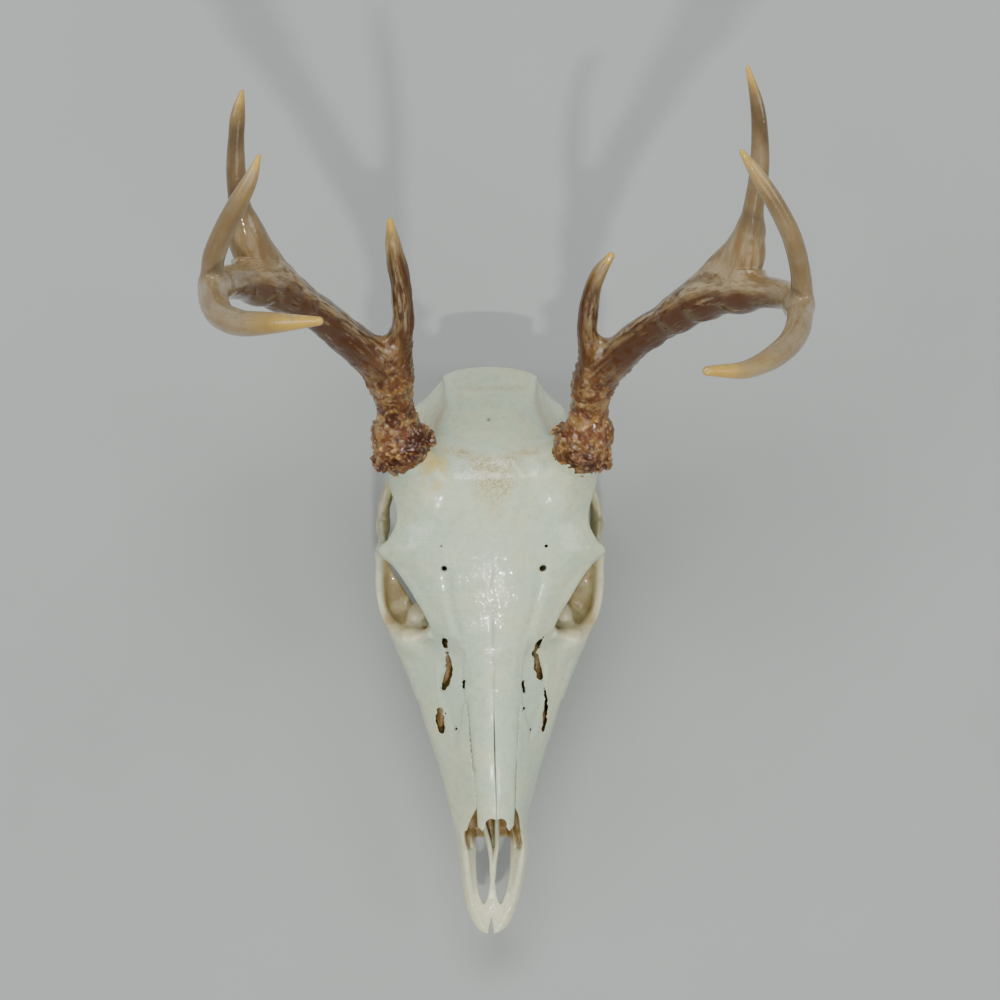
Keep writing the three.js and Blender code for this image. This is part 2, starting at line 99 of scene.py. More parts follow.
crown = along(
    (-165, 72.5), (-158, 74), (-116, 82), (-75, 88.5), (-42, 97), (-5, 103), (8, 103), (18, 100.5),
    (32, 92), (45, 80), (58, 64), (CREST_Y, 50),
)
nasal_edge = along((-170, 8.2), (-150, 9.6), (-122, 11.6), (-101, 13), (-80, 17), (-60, 20))
cheek_x = along((-163, 14.5), (-122, 20), (-101, 24.5), (-80, 31), (-65, 33), (-46, 24))
cheek_z = along((-163, 60), (-122, 65), (-101, 67), (-80, 68), (-46, 66))
face_x = along(
    (-168, 17.4), (-162, 18.9), (-152, 21.5), (-132, 26.9), (-111, 33.5), (-90, 39.4), (-76, 42.5), (-62, 38),
    (-46, 30),
)
face_z = along((-163, 47), (-132, 47), (-90, 50), (-46, 50))
gum_x = along((-163, 17), (-140, 20), (-122, 25), (-105, 30), (-85, 33.5), (-65, 34.5), (-46, 32))
gum_z = along((-163, 36), (-140, 31), (-122, 25), (-48, 10.6), (-46, 10.4))
brow_edge = along(
    (-90, 12), (-84, 15), (-78, 17.5), (-70, 24.5), (-56, 32.5), (-38, 42.8), (-30, 49), (-25, 54.5),
    (-19, 50.5), (-10, 46.8), (2, 46.5), (12, 48), (20, 46), (29, 36),
)
brow_drop = along(
    (-90, 6), (-84, 7), (-64, 9.5), (-47, 11), (-30, 15), (-25, 19), (-18, 17), (0, 12), (14, 8), (29, 7),
)
case_line_x = along(
    (-52, 13), (-35, 14), (-20, 19), (0, 27), (18, 30), (27, 28.5), (38, 24.2), (49, 20.8), (58, 22.4),
    (66, 24.5),
)
case_line_drop = along((-52, 12), (0, 10), (27, 7.5), (45, 7), (CREST_Y, 5))
case_side_x = along(
    (-52, 14), (-35, 15.5), (-20, 23), (-5, 31), (10, 35.5), (25, 37), (40, 36.5), (50, 33), (66, 22),
)
case_side_z = along((-52, 62), (10, 60), (25, 56), (40, 48), (58, 36), (66, 32))
case_low_x = along(
    (-52, 12), (-35, 13), (-20, 18), (-5, 26), (10, 31), (40, 33), (50, 31), (58, 27), (66, 20),
)
case_low_z = along((-52, 48), (-20, 42), (10, 36), (25, 31), (40, 24), (58, 17), (66, 16))
case_base_x = along((-52, 9), (-20, 10), (10, 14), (40, 16), (58, 17), (66, 13))
case_base_z = along((-52, 40), (-35, 38), (-20, 35), (10, 28), (40, 18), (58, 10), (66, 10))
muzzle_x = along(
    (-220.5, 1.5), (-219.5, 4.4), (-216.5, 7.9), (-211.4, 10.7), (-203.7, 13.5), (-193.5, 15.8),
    (-183, 17.5), (-173, 18.7), (-165, 19.2), (-156, 18.4), (-150, 17),
)
muzzle_wall_x = along(
    (-220, 1), (-212, 7), (-205, 9.8), (-196, 12.2), (-185, 14), (-173, 15.2), (-164, 14.6), (-150, 12),
)
muzzle_wall_z = along(
    (-220, 43.8), (-212, 44.8), (-205, 46), (-196, 48.6), (-185, 52.6), (-173, 56.6), (-163, 58.5),
    (-150, 57),
)
muzzle_floor_z = along((-220, 39.6), (-205, 39.4), (-185, 38.8), (-163, 37.2), (-150, 36))
slit_outer_x = along(
    (-206, 4.3), (-203.5, 5.2), (-199, 6.4), (-193, 7.3), (-185, 7.9), (-171, 8.1), (-150, 8.6),
)
slit_inner_x = along(
    (-206, 4.3), (-203, 3.1), (-198, 2.2), (-191, 1.5), (-184, 1.6), (-176, 2.7), (-171, 3.5), (-160, 4.4),
)
bar_x = along((-190, 0.3), (-183, 0.9), (-172, 2.4), (-164, 3.4), (-156, 4.2))
nostril_x = along((-176, 14.2), (-169, 13.4), (-162, 12.2), (-157, 10.6), (-153, 8.4), (-151, 6))
snout_bend = along(
    (-222, 0.6), (-205, 1.3), (-180, 1.9), (-155, 2.2), (-126, 1.2), (-100, 0.6), (-75, 0.2), (-60, 0),
)


def brow_height(x, y):
    """Height of the forehead over (x, y): the crown line, less a drop that steepens to the edge."""
    share = np.clip(np.abs(x) / brow_edge(y), 0, 1)
    return crown(y) - brow_drop(y) * np.interp(share, [0, 0.35, 0.72, 1], [0, 0.08, 0.36, 1])


def nasal_height(x, y):
    """Height of the nasals' top: rounded across, from the crown line down to the crease."""
    edge = nasal_edge(y)
    share = np.clip(np.abs(x) / edge, 0, 1.2)
    return crown(y) - (ROOF_PITCH * edge + 0.8) * (0.25 * share + 0.75 * share**3)


# ---- Clay ----


def soft_min(a, b, reach):
    """The smaller of two depths, rounded off where they are within reach of each other."""
    if reach <= 0:
        return np.minimum(a, b)
    near = np.clip(reach - np.abs(a - b), 0, None) / reach
    return np.minimum(a, b) - near * near * reach / 4


def soft_max(a, b, reach):
    """The larger of two depths, rounded off in the same way."""
    return -soft_min(-a, -b, reach)


FAR = 40.0  # depth of empty space, further than any blend reaches
LEAST_SLOPE = 0.3  # smallest squared slope that a point is pulled along


class Clay:
    """A block of depths, sampled every step millimetres from low to high."""

    def __init__(self, low, high, step):
        self.step = step
        self.low = np.array(low, float)
        self.axes = [np.arange(a, b + step, step, dtype=np.float32) for a, b in zip(low, high)]
        self.depth = np.full([len(axis) for axis in self.axes], FAR, np.float32)

    def window(self, low, high, margin):
        """The slices that hold a box and a margin round it, and the coordinates along each."""
        cut, coordinates = [], []
        for k, axis in enumerate(self.axes):
            first, last = np.searchsorted(axis, (low[k] - margin, high[k] + margin))
            cut.append(slice(first, last))
            shape = [1, 1, 1]
            shape[k] = last - first
            coordinates.append(axis[first:last].reshape(shape))
        empty = any(part.stop - part.start < 2 for part in cut)
        return (None if empty else tuple(cut)), coordinates

    def blend(self, shape, reach, sign):
        """Joins a shape on where the sign is 1, and cuts it out where it is -1."""
        low, high, depth = shape
        cut, at = self.window(low, high, reach + 2 * self.step + 1)
        if cut:
            self.depth[cut] = sign * soft_min(sign * self.depth[cut], depth(*at), reach)

    def add(self, shape, reach):
        self.blend(shape, reach, 1)

    def carve(self, shape, reach):
        self.blend(shape, reach, -1)

    def keep(self, depth, reach):
        """Keeps only what is also inside another depth formula."""
        at = [axis.reshape([-1 if k == j else 1 for j in range(3)]) for k, axis in enumerate(self.axes)]
        self.depth = soft_max(self.depth, depth(*at).astype(np.float32), reach)

    def mirrored(self):
        """Both halves of a block whose first plane is the midline."""
        self.axes[0] = np.concatenate([-self.axes[0][:0:-1], self.axes[0]])
        self.depth = np.concatenate([self.depth[:0:-1], self.depth])
        self.low = np.array([axis[0] for axis in self.axes], float)
        return self

    def at(self, points):
        """Depth at any points, blended from the eight samples round each."""
        place = np.clip((points - self.low) / self.step, 0, np.array(self.depth.shape) - 1.001)
        cell = place.astype(int)
        return cell_blend(place - cell, lambda corner: self.depth[tuple((cell + corner).T)])

    def slope(self, points):
        """How depth grows along x, y and z, by differences between points 0.75 steps to each side."""
        push = self.step * 0.75 * np.eye(3)
        return np.stack([self.at(points + p) - self.at(points - p) for p in push], 1) / (1.5 * self.step)

    def outward(self, points):
        """The direction out of the surface: the slope brought to length one."""
        slope = self.slope(points)
        return slope / np.maximum(np.linalg.norm(slope, axis=1, keepdims=True), 0.2)

    def bulge(self, points, reach):
        """Mean curvature: above zero on ridges and edges, below zero in grooves and pits."""
        ring = sum(self.at(points + p) + self.at(points - p) for p in reach * np.eye(3))
        return (ring - 6 * self.at(points)) / reach**2 / 2

    def surface(self, rounds=2):
        """Points and quads of the surface of zero depth. Each cell that the surface passes through
        gets one point, the mean of the places where it crosses the cell's edges, and each crossed
        edge gets one quad, from the four cells round it. Then the points are evened out and pulled
        back to zero depth along the slope."""
        inside = self.depth < 0
        filled = sum(
            inside[a : a - 1 or None, b : b - 1 or None, c : c - 1 or None].astype(np.int8)
            for a, b, c in np.ndindex(2, 2, 2)
        )
        cells = np.argwhere((filled > 0) & (filled < 8))
        number = np.full(filled.shape, -1, np.int32)
        number[tuple(cells.T)] = np.arange(len(cells))
        total = np.zeros((len(cells), 3))
        hits = np.zeros((len(cells), 1))
        unit = np.eye(3, dtype=int)
        for axis in range(3):
            one, two = unit[(axis + 1) % 3], unit[(axis + 2) % 3]
            for side in (0 * one, one, two, one + two):
                start = cells + side
                near = self.depth[tuple(start.T)]
                far = self.depth[tuple((start + unit[axis]).T)]
                crossed = (near < 0) != (far < 0)
                share = (near / np.where(crossed, near - far, 1))[:, None]
                total += crossed[:, None] * (start + share * unit[axis])
                hits += crossed[:, None]
        points = total / hits
        quads = []
        for axis in range(3):
            one, two = unit[(axis + 1) % 3], unit[(axis + 2) % 3]
            near = np.moveaxis(inside, axis, 0)[:-1]
            far = np.moveaxis(inside, axis, 0)[1:]
            start = np.moveaxis(np.moveaxis(near != far, 0, axis), 0, 0)
            edges = np.argwhere(start)
            safe = ((edges > 0) | (np.arange(3) == axis)).all(1)
            safe &= (edges < np.array(inside.shape) - 1).all(1)
            edges = edges[safe]
            ring = [edges - one - two, edges - two, edges, edges - one]
            quad = np.stack([number[tuple(cell.T)] for cell in ring], 1)
            outward = inside[tuple(edges.T)]
            quads.append(np.where(outward[:, None], quad, quad[:, ::-1]))
        quads = np.concatenate(quads)
        points = relax(points, quads, rounds) * self.step + self.low
        for _ in range(2):
            slope = self.slope(points)
            size = np.maximum((slope * slope).sum(1, keepdims=True), LEAST_SLOPE)
            step = self.at(points)[:, None] * slope / size
            points = points - np.clip(step, -0.5 * self.step, 0.5 * self.step)
        return points, quads


def cell_blend(part, value):
    """The values at a cell's eight corners, weighed by how near each point lies to each corner."""
    total = np.zeros(len(part))
    for corner in np.ndindex(2, 2, 2):
        total += np.prod(np.where(corner, part, 1 - part), axis=1) * value(corner)
    return total


def relax(points, quads, rounds):
    """Each round moves every point half way to the mean of its neighbours."""
    ends = np.concatenate([quads[:, [k, (k + 1) % 4]] for k in range(4)])
    first, second = ends.T
    count = np.bincount(ends.ravel(), minlength=len(points))[:, None]
    for _ in range(rounds):
        total = [
            np.bincount(first, points[second, k], len(points))
            + np.bincount(second, points[first, k], len(points))
            for k in range(3)
        ]
        points = 0.5 * points + 0.5 * np.stack(total, 1) / count
    return points


# ---- Shapes: each is its lowest corner, highest corner and depth formula ----


def oval(offsets, radii):
    """Scaled distance from the centre of an oval, corrected by its own gradient."""
    near = np.sqrt(sum((offset / radius) ** 2 for offset, radius in zip(offsets, radii))) + 1e-6
    steep = np.sqrt(sum((offset / radius**2) ** 2 for offset, radius in zip(offsets, radii))) + 1e-6
    return near * (near - 1) / steep


def ball(centre, radii):
    """An ellipsoid."""
    centre, radii = np.array(centre, float), np.array(radii, float) * np.ones(3)

    def depth(x, y, z):
        return oval((x - centre[0], y - centre[1], z - centre[2]), radii)

    return centre - radii, centre + radii, depth


def rod(points):
    """Round bars end to end through [x, y, z, radius] points: distance to the nearest one's axis,
    less a radius that runs evenly from end to end."""
    points = np.array(points, float)
    reach = points[:, 3:].max()

    def depth(x, y, z):
        best = None
        for (ax, ay, az, ar), (bx, by, bz, br) in zip(points[:-1], points[1:]):
            dx, dy, dz = bx - ax, by - ay, bz - az
            share = ((x - ax) * dx + (y - ay) * dy + (z - az) * dz) / (dx * dx + dy * dy + dz * dz)
            share = np.clip(share, 0, 1)
            square = (x - ax - share * dx) ** 2 + (y - ay - share * dy) ** 2 + (z - az - share * dz) ** 2
            gap = np.sqrt(square) - (ar + share * (br - ar))
            best = gap if best is None else np.minimum(best, gap)
        return best

    return points[:, :3].min(0) - reach, points[:, :3].max(0) + reach, depth


def blade(points, steps=5):
    """A flattened bar through [x, y, z, half thickness, half height] points with an upright oval
    section: the scaled distance from the nearest point of its centre line, in the plane across."""
    route = smooth_route(points, steps)
    reach = route[:, 3:].max()

    def depth(x, y, z):
        best = None
        for a, b in zip(route[:-1], route[1:]):
            run = b[:2] - a[:2]
            length = math.hypot(*run)
            share = ((x - a[0]) * run[0] + (y - a[1]) * run[1]) / length**2
            past = np.maximum(np.abs(share - 0.5) - 0.5, 0) * length
            share = np.clip(share, 0, 1)
            size = [a[k] + share * (b[k] - a[k]) for k in range(5)]
            side = ((x - a[0]) * run[1] - (y - a[1]) * run[0]) / length
            gap = np.maximum(oval((side, z - size[2]), size[3:]), past - 1)
            best = gap if best is None else np.minimum(best, gap)
        return best

    return route[:, :3].min(0) - reach, route[:, :3].max(0) + reach, depth


def curve_through(padded, steps):
    """Catmull-Rom points from the second row to the last but one, as many steps to each stretch."""
    a, b, c, d = (padded[k : len(padded) - 3 + k, None] for k in range(4))
    t = (np.arange(steps) / steps).reshape(1, -1, *[1] * (padded.ndim - 1))
    curve = (2 * b + (c - a) * t + (2 * a - 5 * b + 4 * c - d) * t**2 + (3 * b - a - 3 * c + d) * t**3) / 2
    return curve.reshape(-1, *padded.shape[1:])


def smooth_route(points, steps):
    """A curve through points, running straight on at both ends."""
    points = np.array(points, float)
    padded = np.concatenate([2 * points[:1] - points[1:2], points, 2 * points[-1:] - points[-2:-1]])
    return np.concatenate([curve_through(padded, steps), points[-1:]])


def loft(section, low, high, closed=False, steps=4):
    """A body whose section across the skull is section(y), a list of (x, z) corners joined by
    Catmull-Rom curves. Depth is the distance to that curve in the section's own plane. An open
    section runs from midline to midline and is half of a mirrored one."""

    def outline(y):
        corners = np.array([[x + 0 * y, z + 0 * y] for x, z in section(y)])
        if closed:
            padded = np.concatenate([corners[-1:], corners, corners[:2]])
        else:
            flip = np.array([-1, 1])[None, :, None]
            padded = np.concatenate([corners[1:2] * flip, corners, corners[-2:-1] * flip])
        curve = curve_through(padded, steps)
        return np.concatenate([curve, curve[:1] if closed else corners[-1:]]).astype(np.float32)

    def depth(x, y, z):
        curve = outline(y.ravel().astype(float))
        near = None
        inside = np.zeros(np.broadcast_shapes(x.shape, y.shape, z.shape), bool)
        for a, b in zip(curve[:-1], curve[1:]):
            (ax, az), (bx, bz) = a.reshape(2, 1, -1, 1), b.reshape(2, 1, -1, 1)
            dx, dz = bx - ax, bz - az
            long = np.maximum(dx * dx + dz * dz, 1e-6)
            share = np.clip(((x - ax) * dx + (z - az) * dz) / long, 0, 1)
            gap = (x - ax - share * dx) ** 2 + (z - az - share * dz) ** 2
            near = gap if near is None else np.minimum(near, gap)
            steep = np.where(np.abs(dz) < 1e-6, 1e-6, dz)
            inside ^= ((az > z) != (bz > z)) & (x < ax + (z - az) * dx / steep)
        gap = np.sqrt(near) * np.where(inside, -1, 1)
        return soft_max(gap, np.maximum(low - y, y - high), 1.5)

    probe = outline(np.linspace(low, high, 60))
    corner_low = [probe[:, 0].min(), low, probe[:, 1].min()]
    corner_high = [probe[:, 0].max(), high, probe[:, 1].max()]
    return np.array(corner_low), np.array(corner_high), depth


def both_inside(shape, limit, reach=0.5):
    """The part of a shape that is also inside the limit, a second depth formula."""
    low, high, depth = shape
    return low, high, lambda x, y, z: soft_max(depth(x, y, z), limit(x, y, z), reach)


def grown(shape, by):
    """A shape whose surface lies that much further out."""
    low, high, depth = shape
    return low, high, lambda x, y, z: depth(x, y, z) - by


# ---- Noise ----

CHANCE = np.random.default_rng(20).random(8192)


def lattice(cell, seed):
    """One fixed random number from 0 to 1 for each whole-number place."""
    i, j, k = cell.T.astype(np.int64)
    return CHANCE[((i * 73856093) ^ (j * 19349663) ^ (k * 83492791) ^ (seed * 2654435)) & 8191]


def noise(points, size, seed):
    """Smooth noise from -1 to 1, whose lumps are about one size across: random numbers at the
    corners of a cubic lattice, blended with the ease curve t * t * (3 - 2 t)."""
    place = points / size
    cell = np.floor(place).astype(np.int64)
    part = ease(place - cell, 0, 1)
    return 2 * cell_blend(part, lambda corner: lattice(cell + corner, seed)) - 1


def beads(points, size, seed):
    """Distance to the nearest of one random point per lattice cell, in sizes."""
    place = points / size
    cell = np.floor(place).astype(np.int64)
    near = np.full(len(points), 9.0)
    for corner in np.ndindex(3, 3, 3):
        home = cell + corner - 1
        spot = home + np.stack([lattice(home, seed + k) for k in range(3)], 1)
        near = np.minimum(near, ((place - spot) ** 2).sum(1))
    return np.sqrt(near)


def ease(value, low, high):
    """0 below low, 1 above high and smooth between, for low above high as well."""
    t = np.clip((value - low) / (high - low), 0, 1)
    return t * t * (3 - 2 * t)


# ---- Skull ----

WALL = 2.4  # the maxilla's bone round the nose
BROW_BONE = 3.0
NASAL_BONE = 3.0
ORBIT_CENTRE = (45, -46.5, 62)
ORBIT_RADII = (29, 20.5, 18.8)
SEATS = {-1: (-43.3, 24.2, 104), 1: (41.6, 24.3, 104)}
SEAT_AXIS = np.array([0.5, 0.78, 0.37]) / np.linalg.norm([0.5, 0.78, 0.37])
PEDICLE_LENGTH = 22
NAPE_SLOPE = math.tan(math.radians(16))
NASAL_FADE_Y = -88.0

roof_x = along(
    (-170, 8.2), (-150, 9.6), (-122, 11.6), (-101, 13), (-86, 15), (-78, 17.8), (-70, 24), (-56, 31.5),
    (-46, 35),
)
roof_drop = along((-170, 3.6), (-150, 4.1), (-122, 4.8), (-101, 5.3), (-86, 6.3), (-64, 9.5), (-47, 11))


def palate_z(y):
    """The palate's height, straight above the gum line."""
    return gum_z(y) + 6.5


# Sections across the skull at any y: corners (x, z) joined by curves. The open ones run from the
# midline's top outwards and down to its underside, and the landmark lines above give their edges.


def case_section(y):
    top, edge, drop = crown(y) - 4 * ease(y, 12, -8), case_line_x(y), case_line_drop(y)
    return [
        (0, top),
        (0.45 * edge, top - 0.14 * drop),
        (0.8 * edge, top - 0.5 * drop),
        (edge + 0.3, top - drop - 0.6),
        (0.6 * edge + 0.4 * case_side_x(y) - 0.6, 0.6 * (top - drop) + 0.4 * case_side_z(y)),
        (case_side_x(y), case_side_z(y)),
        (case_low_x(y), case_low_z(y)),
        (case_base_x(y), case_base_z(y)),
        (0, case_base_z(y) - 0.8),
    ]


def brow_section(y):
    top = crown(y) - 6 * ease(y, -64, -84) - 5 * ease(y, 8, 30)
    edge, drop = brow_edge(y), brow_drop(y)
    return [
        (0, top),
        (0.35 * edge, top - 0.08 * drop),
        (0.72 * edge, top - 0.36 * drop),
        (edge, top - drop),
        (edge - 2.5, top - drop - BROW_BONE),
        (0.7 * edge, top - 0.45 * drop - 1.6 * BROW_BONE),
        (0, top - 5 * BROW_BONE),
    ]


def face_section(y):
    edge, drop, top = roof_x(y), roof_drop(y), crown(y) - 4 * ease(y, -66, -47)
    return [
        (0, top),
        (0.6 * edge, top - 0.28 * drop),
        (edge, top - drop),
        (cheek_x(y), cheek_z(y)),
        (face_x(y), face_z(y)),
        (gum_x(y), gum_z(y)),
        (gum_x(y) - 9, gum_z(y) + 0.6),
        (gum_x(y) - 12, palate_z(y)),
        (0, palate_z(y) + 1),
    ]


def airway_section(y):
    edge, drop, top = roof_x(y), roof_drop(y), crown(y)
    return [
        (0, top - NASAL_BONE - 1.6),
        (edge - 1.5, top - drop - 2.6),
        (cheek_x(y) - WALL, cheek_z(y) - 1.5),
        (face_x(y) - WALL - 0.6, face_z(y) + 1),
        (np.minimum(gum_x(y) - 8, face_x(y) - 6), palate_z(y) + 6),
        (gum_x(y) - 13, palate_z(y) + 3.2),
        (0, palate_z(y) + 3.2),
    ]


def muzzle_section(y):
    out, floor = muzzle_x(y), muzzle_floor_z(y)
    return [
        (0, np.maximum(floor + 4.2, muzzle_wall_z(y) - 1)),
        (muzzle_wall_x(y) * 0.6, np.maximum(floor + 4.2, muzzle_wall_z(y) - 0.5)),
        (muzzle_wall_x(y), muzzle_wall_z(y)),
        (0.5 * (out + muzzle_wall_x(y)) + 0.8, 0.5 * (floor + muzzle_wall_z(y)) + 1.5),
        (out, floor + 2.4),
        (out - 1.4, floor),
        (0, floor - 0.2),
    ]


def trough_section(y):
    """Above the rails, from the top of each down to its slit."""
    floor, wall, top = muzzle_floor_z(y), muzzle_wall_x(y), muzzle_wall_z(y)
    rise = 3 * ease(y, -196, -207)
    return [
        (0, top + 14),
        (wall + 0.2, top + 14),
        (wall - 0.3, top + 0.6),
        (wall - 1.6, top - 0.6),
        (0.45 * wall + 0.55 * slit_outer_x(y), 0.5 * floor + 0.5 * top + 2.4),
        (slit_outer_x(y), floor + 4.4 + rise),
        (slit_outer_x(y) - 1, floor + 3.8 + rise),
        (0, floor + 4.1 + rise),
    ]


def nostril_section(y):
    floor = 46.5 + 3 * ease(y, -165, -174)
    return [(-1, floor), (nostril_x(y) - 2, floor), (nostril_x(y), floor + 3), (nostril_x(y), 96), (-1, 96)]


def notch_section(y):
    half = 0.25 + 0.85 * ease(y, -213, -219)
    return [(-half, 30), (half, 30), (half, 60), (-half, 60)]


def slit_section(y):
    inner, outer = slit_inner_x(y), slit_outer_x(y)
    return [(inner, 20), (outer, 20), (outer + 0.2, 90), (inner, 90)]


def post(x, y, z_low, z_high, radius):
    """An upright round hole."""
    return rod([[x, y, z_low, radius], [x, y, z_high, radius]])


def shape_face(clay):
    """The upper jaws with their airway, and the muzzle's two rails with the slits and bars between."""
    clay.add(loft(face_section, -168, -46), 2)
    clay.add(loft(muzzle_section, -220.6, -152), 1.5)
    clay.carve(loft(airway_section, -176, -64), 1)
    clay.carve(loft(trough_section, -207, -166), 1)
    clay.carve(loft(nostril_section, -174, -150, closed=True), 1)
    clay.carve(loft(slit_section, -205.4, -171.5, closed=True), 0.8)
    for lower in (0, 2.4):
        gap = [[0, -181, 43.5, 0.3], [0, -177, 43.4, 1.0], [0, -170, 43.6, 1.7], [0, -162, 45, 2]]
        clay.carve(rod([[x, y, z - lower, r] for x, y, z, r in gap]), 0.4)
    bar = [(-192, 42.2, 1.0), (-183, 43.2, 1.05), (-172, 45.2, 1.25), (-164, 47, 1.25), (-156, 48, 0.9)]
    clay.add(rod([[bar_x(y), y, z, r] for y, z, r in bar]), 1.5)
    clay.carve(loft(notch_section, -224, -211.5, closed=True), 0.4)


def shape_case(clay):
    """The braincase and the forehead, cut off behind by the nape: a plane that leans NAPE_SLOPE and
    curves round to the sides."""
    clay.add(loft(case_section, -56, CREST_Y + 2), 3)
    clay.add(loft(brow_section, -84, 30), 3)
    clay.add(ball((21.5, -31, 87), (6, 8, 5)), 3)
    clay.add(ball((31.5, -47, 38), (7.5, 7, 12)), 3)

    def nape(x, y, z):
        back = y - CREST_Y + 0.005 * x**2 + 7e-6 * x**4
        return np.maximum((back + (50 - z) * NAPE_SLOPE) * 0.96, back - 0.8)

    clay.add(both_inside(ball((0, 58, 38), (27, 13, 15)), nape, 1.5), 3)
    clay.keep(nape, 1.6)


def shape_orbit(clay):
    """The cheek arch, then the eye socket: a bowl with walls 2.2 mm thick, its bars and its rim."""
    clay.add(blade([[33, -96, 48, 4.5, 6], [42, -75, 47, 5, 10], [49.2, -60, 45.5, 4, 10.5],
                    [52.6, -46, 45.5, 3.2, 8.5], [53.6, -28, 49, 2.8, 7], [54, -12, 51.5, 2.4, 4.8]]), 4)
    clay.add(rod([[54, -14, 51.5, 3.6], [53.4, -3, 52.6, 3.2], [51, 5, 53, 3.2], [46, 14, 52.4, 3.8],
                  [36, 21, 50, 5]]), 3)
    bowl = grown(ball(ORBIT_CENTRE, ORBIT_RADII), 2.2)

    def cup(x, y, z):
        rim_line = 19.5 * (np.hypot(np.maximum(x - 36, 0) / 19.5, (y + 45) / 23) - 1)
        return np.maximum(np.maximum(z - 62, rim_line), np.maximum(48.5 + (y + 36) * 0.62 - x, y + 30))

    clay.add(both_inside(bowl, cup, 3), 2)
    clay.carve(ball(ORBIT_CENTRE, ORBIT_RADII), 1.2)
    clay.add(rod([[52.4, -24.5, 77, 3.2], [53.4, -25, 70, 3], [53.8, -25, 64, 2.9], [54, -25, 57, 3.3],
                  [53.6, -26, 50, 4]]), 4)
    rim = [[51.8, -27, 78], [46, -32.5, 81.5], [40.5, -40, 83], [35.5, -48, 83], [30.5, -56, 81.5],
           [27.8, -63, 78.5], [30, -67.2, 73], [35.5, -68, 65.5], [42.5, -66.5, 57.5], [49, -62.3, 51],
           [53, -56, 47.5], [55, -48, 45.8], [55.6, -38, 46.5], [55, -29, 51]]
    clay.add(rod([[*point, 2] for point in smooth_route(rim, 3)]), 4)
    clay.add(ball((39, -71, 56), (8, 7, 10)), 5)
    clay.add(ball((34.5, -59.5, 51), (7.5, 8.5, 7)), 4)
    clay.add(ball((30.4, -66.5, 76), (2.4, 2.6, 2)), 1.5)
    clay.carve(ball((25, -22, 58), (9, 22, 17)), 5)


def shape_pedicle(clay):
    """The short post of bone that carries the antler, with a swelling under it."""
    seat = np.array(SEATS[1]) + [0.8, 0, 0]
    root, low = seat - PEDICLE_LENGTH * SEAT_AXIS, seat - 5 * SEAT_AXIS
    clay.add(ball(seat - 15 * SEAT_AXIS - [1, 0, 9], (16, 18, 10)), 8)
    clay.add(rod([[*(root - [0, 0, 6]), 9], [*low, 11.6], [*(seat + 1.5 * SEAT_AXIS), 12]]), 10)


def shape_underside(clay):
    """Ear opening, ear capsule, neck joint and the process beside it, large hole, base and throat."""
    clay.add(rod([[24, 26, 38, 7], [31, 28, 41.5, 5.4], [38.5, 30.5, 44, 4.6]]), 3)
    clay.carve(rod([[33, 28.6, 42.4, 2], [42, 32, 45, 2.9]]), 0.8)
    clay.add(ball((19, 19, 25), (7, 11, 9)), 2)
    clay.add(ball((33, 42, 38), (6.5, 8, 12)), 4)
    clay.add(ball((12.5, 56.5, 14), (8.3, 10.6, 10.8)), 2.5)
    clay.carve(ball((11, 70.6, 37), (9, 9, 10)), 4)
    clay.add(rod([[27, 48, 26, 6.6], [26, 43.5, 13, 4.9], [25.3, 40.8, 4, 3.6], [25, 40, 3.2, 3.1]]), 3)
    clay.carve(blade([[0, 26, 17, 7.5, 7], [0, 60, 17.5, 8, 7.5], [0, 84, 20, 10, 9.5]]), 1.5)
    clay.add(rod([[7, 8, 27, 4.2], [4, 24, 19, 4.6], [4.5, 40, 13, 4.6]]), 3)
    clay.add(rod([[12.5, -50, 36, 2.2], [12, -36, 33, 1.7], [10.6, -24, 31, 1.4], [10.5, -12, 33, 2.4]]), 3)
    clay.add(blade([[13.5, -54, 32, 1.3, 10], [12.4, -40, 31, 1.1, 8], [10.8, -24, 33, 1.1, 7]]), 1.5)
    clay.carve(blade([[0, -60, 31, 9, 9], [0, -40, 28, 9.2, 7], [0, -20, 24, 8.5, 5.5]]), 2)


def bore_small_holes(clay):
    """Two holes over each eye with the groove that runs forward from them, and one in the jaw."""
    clay.carve(rod([[25, -34.4, 100, 1.6], [23.8, -33, 92.5, 1.5], [20, -29, 86, 1.3]]), 0.8)
    clay.carve(rod([[26, -22.8, 99.5, 0.8], [25, -22, 93, 0.7]]), 0.5)
    groove = [[24.3, -36], [22.9, -46], [20.8, -56], [18.6, -66]]
    clay.carve(rod([[x, y, brow_height(x, y) + 3.8, 3.4] for x, y in groove]), 2.2)
    clay.carve(rod([[26, -147, 47, 1.9], [25, -138, 47, 1.8], [22, -128, 48, 1.6]]), 1)


SKULL_HALF_WIDTH = 62
SKULL_LOW_Z, SKULL_HIGH_Z = -2, 116
WINDOWS_END_Y = -50.0  # no piece that starts behind this has windows
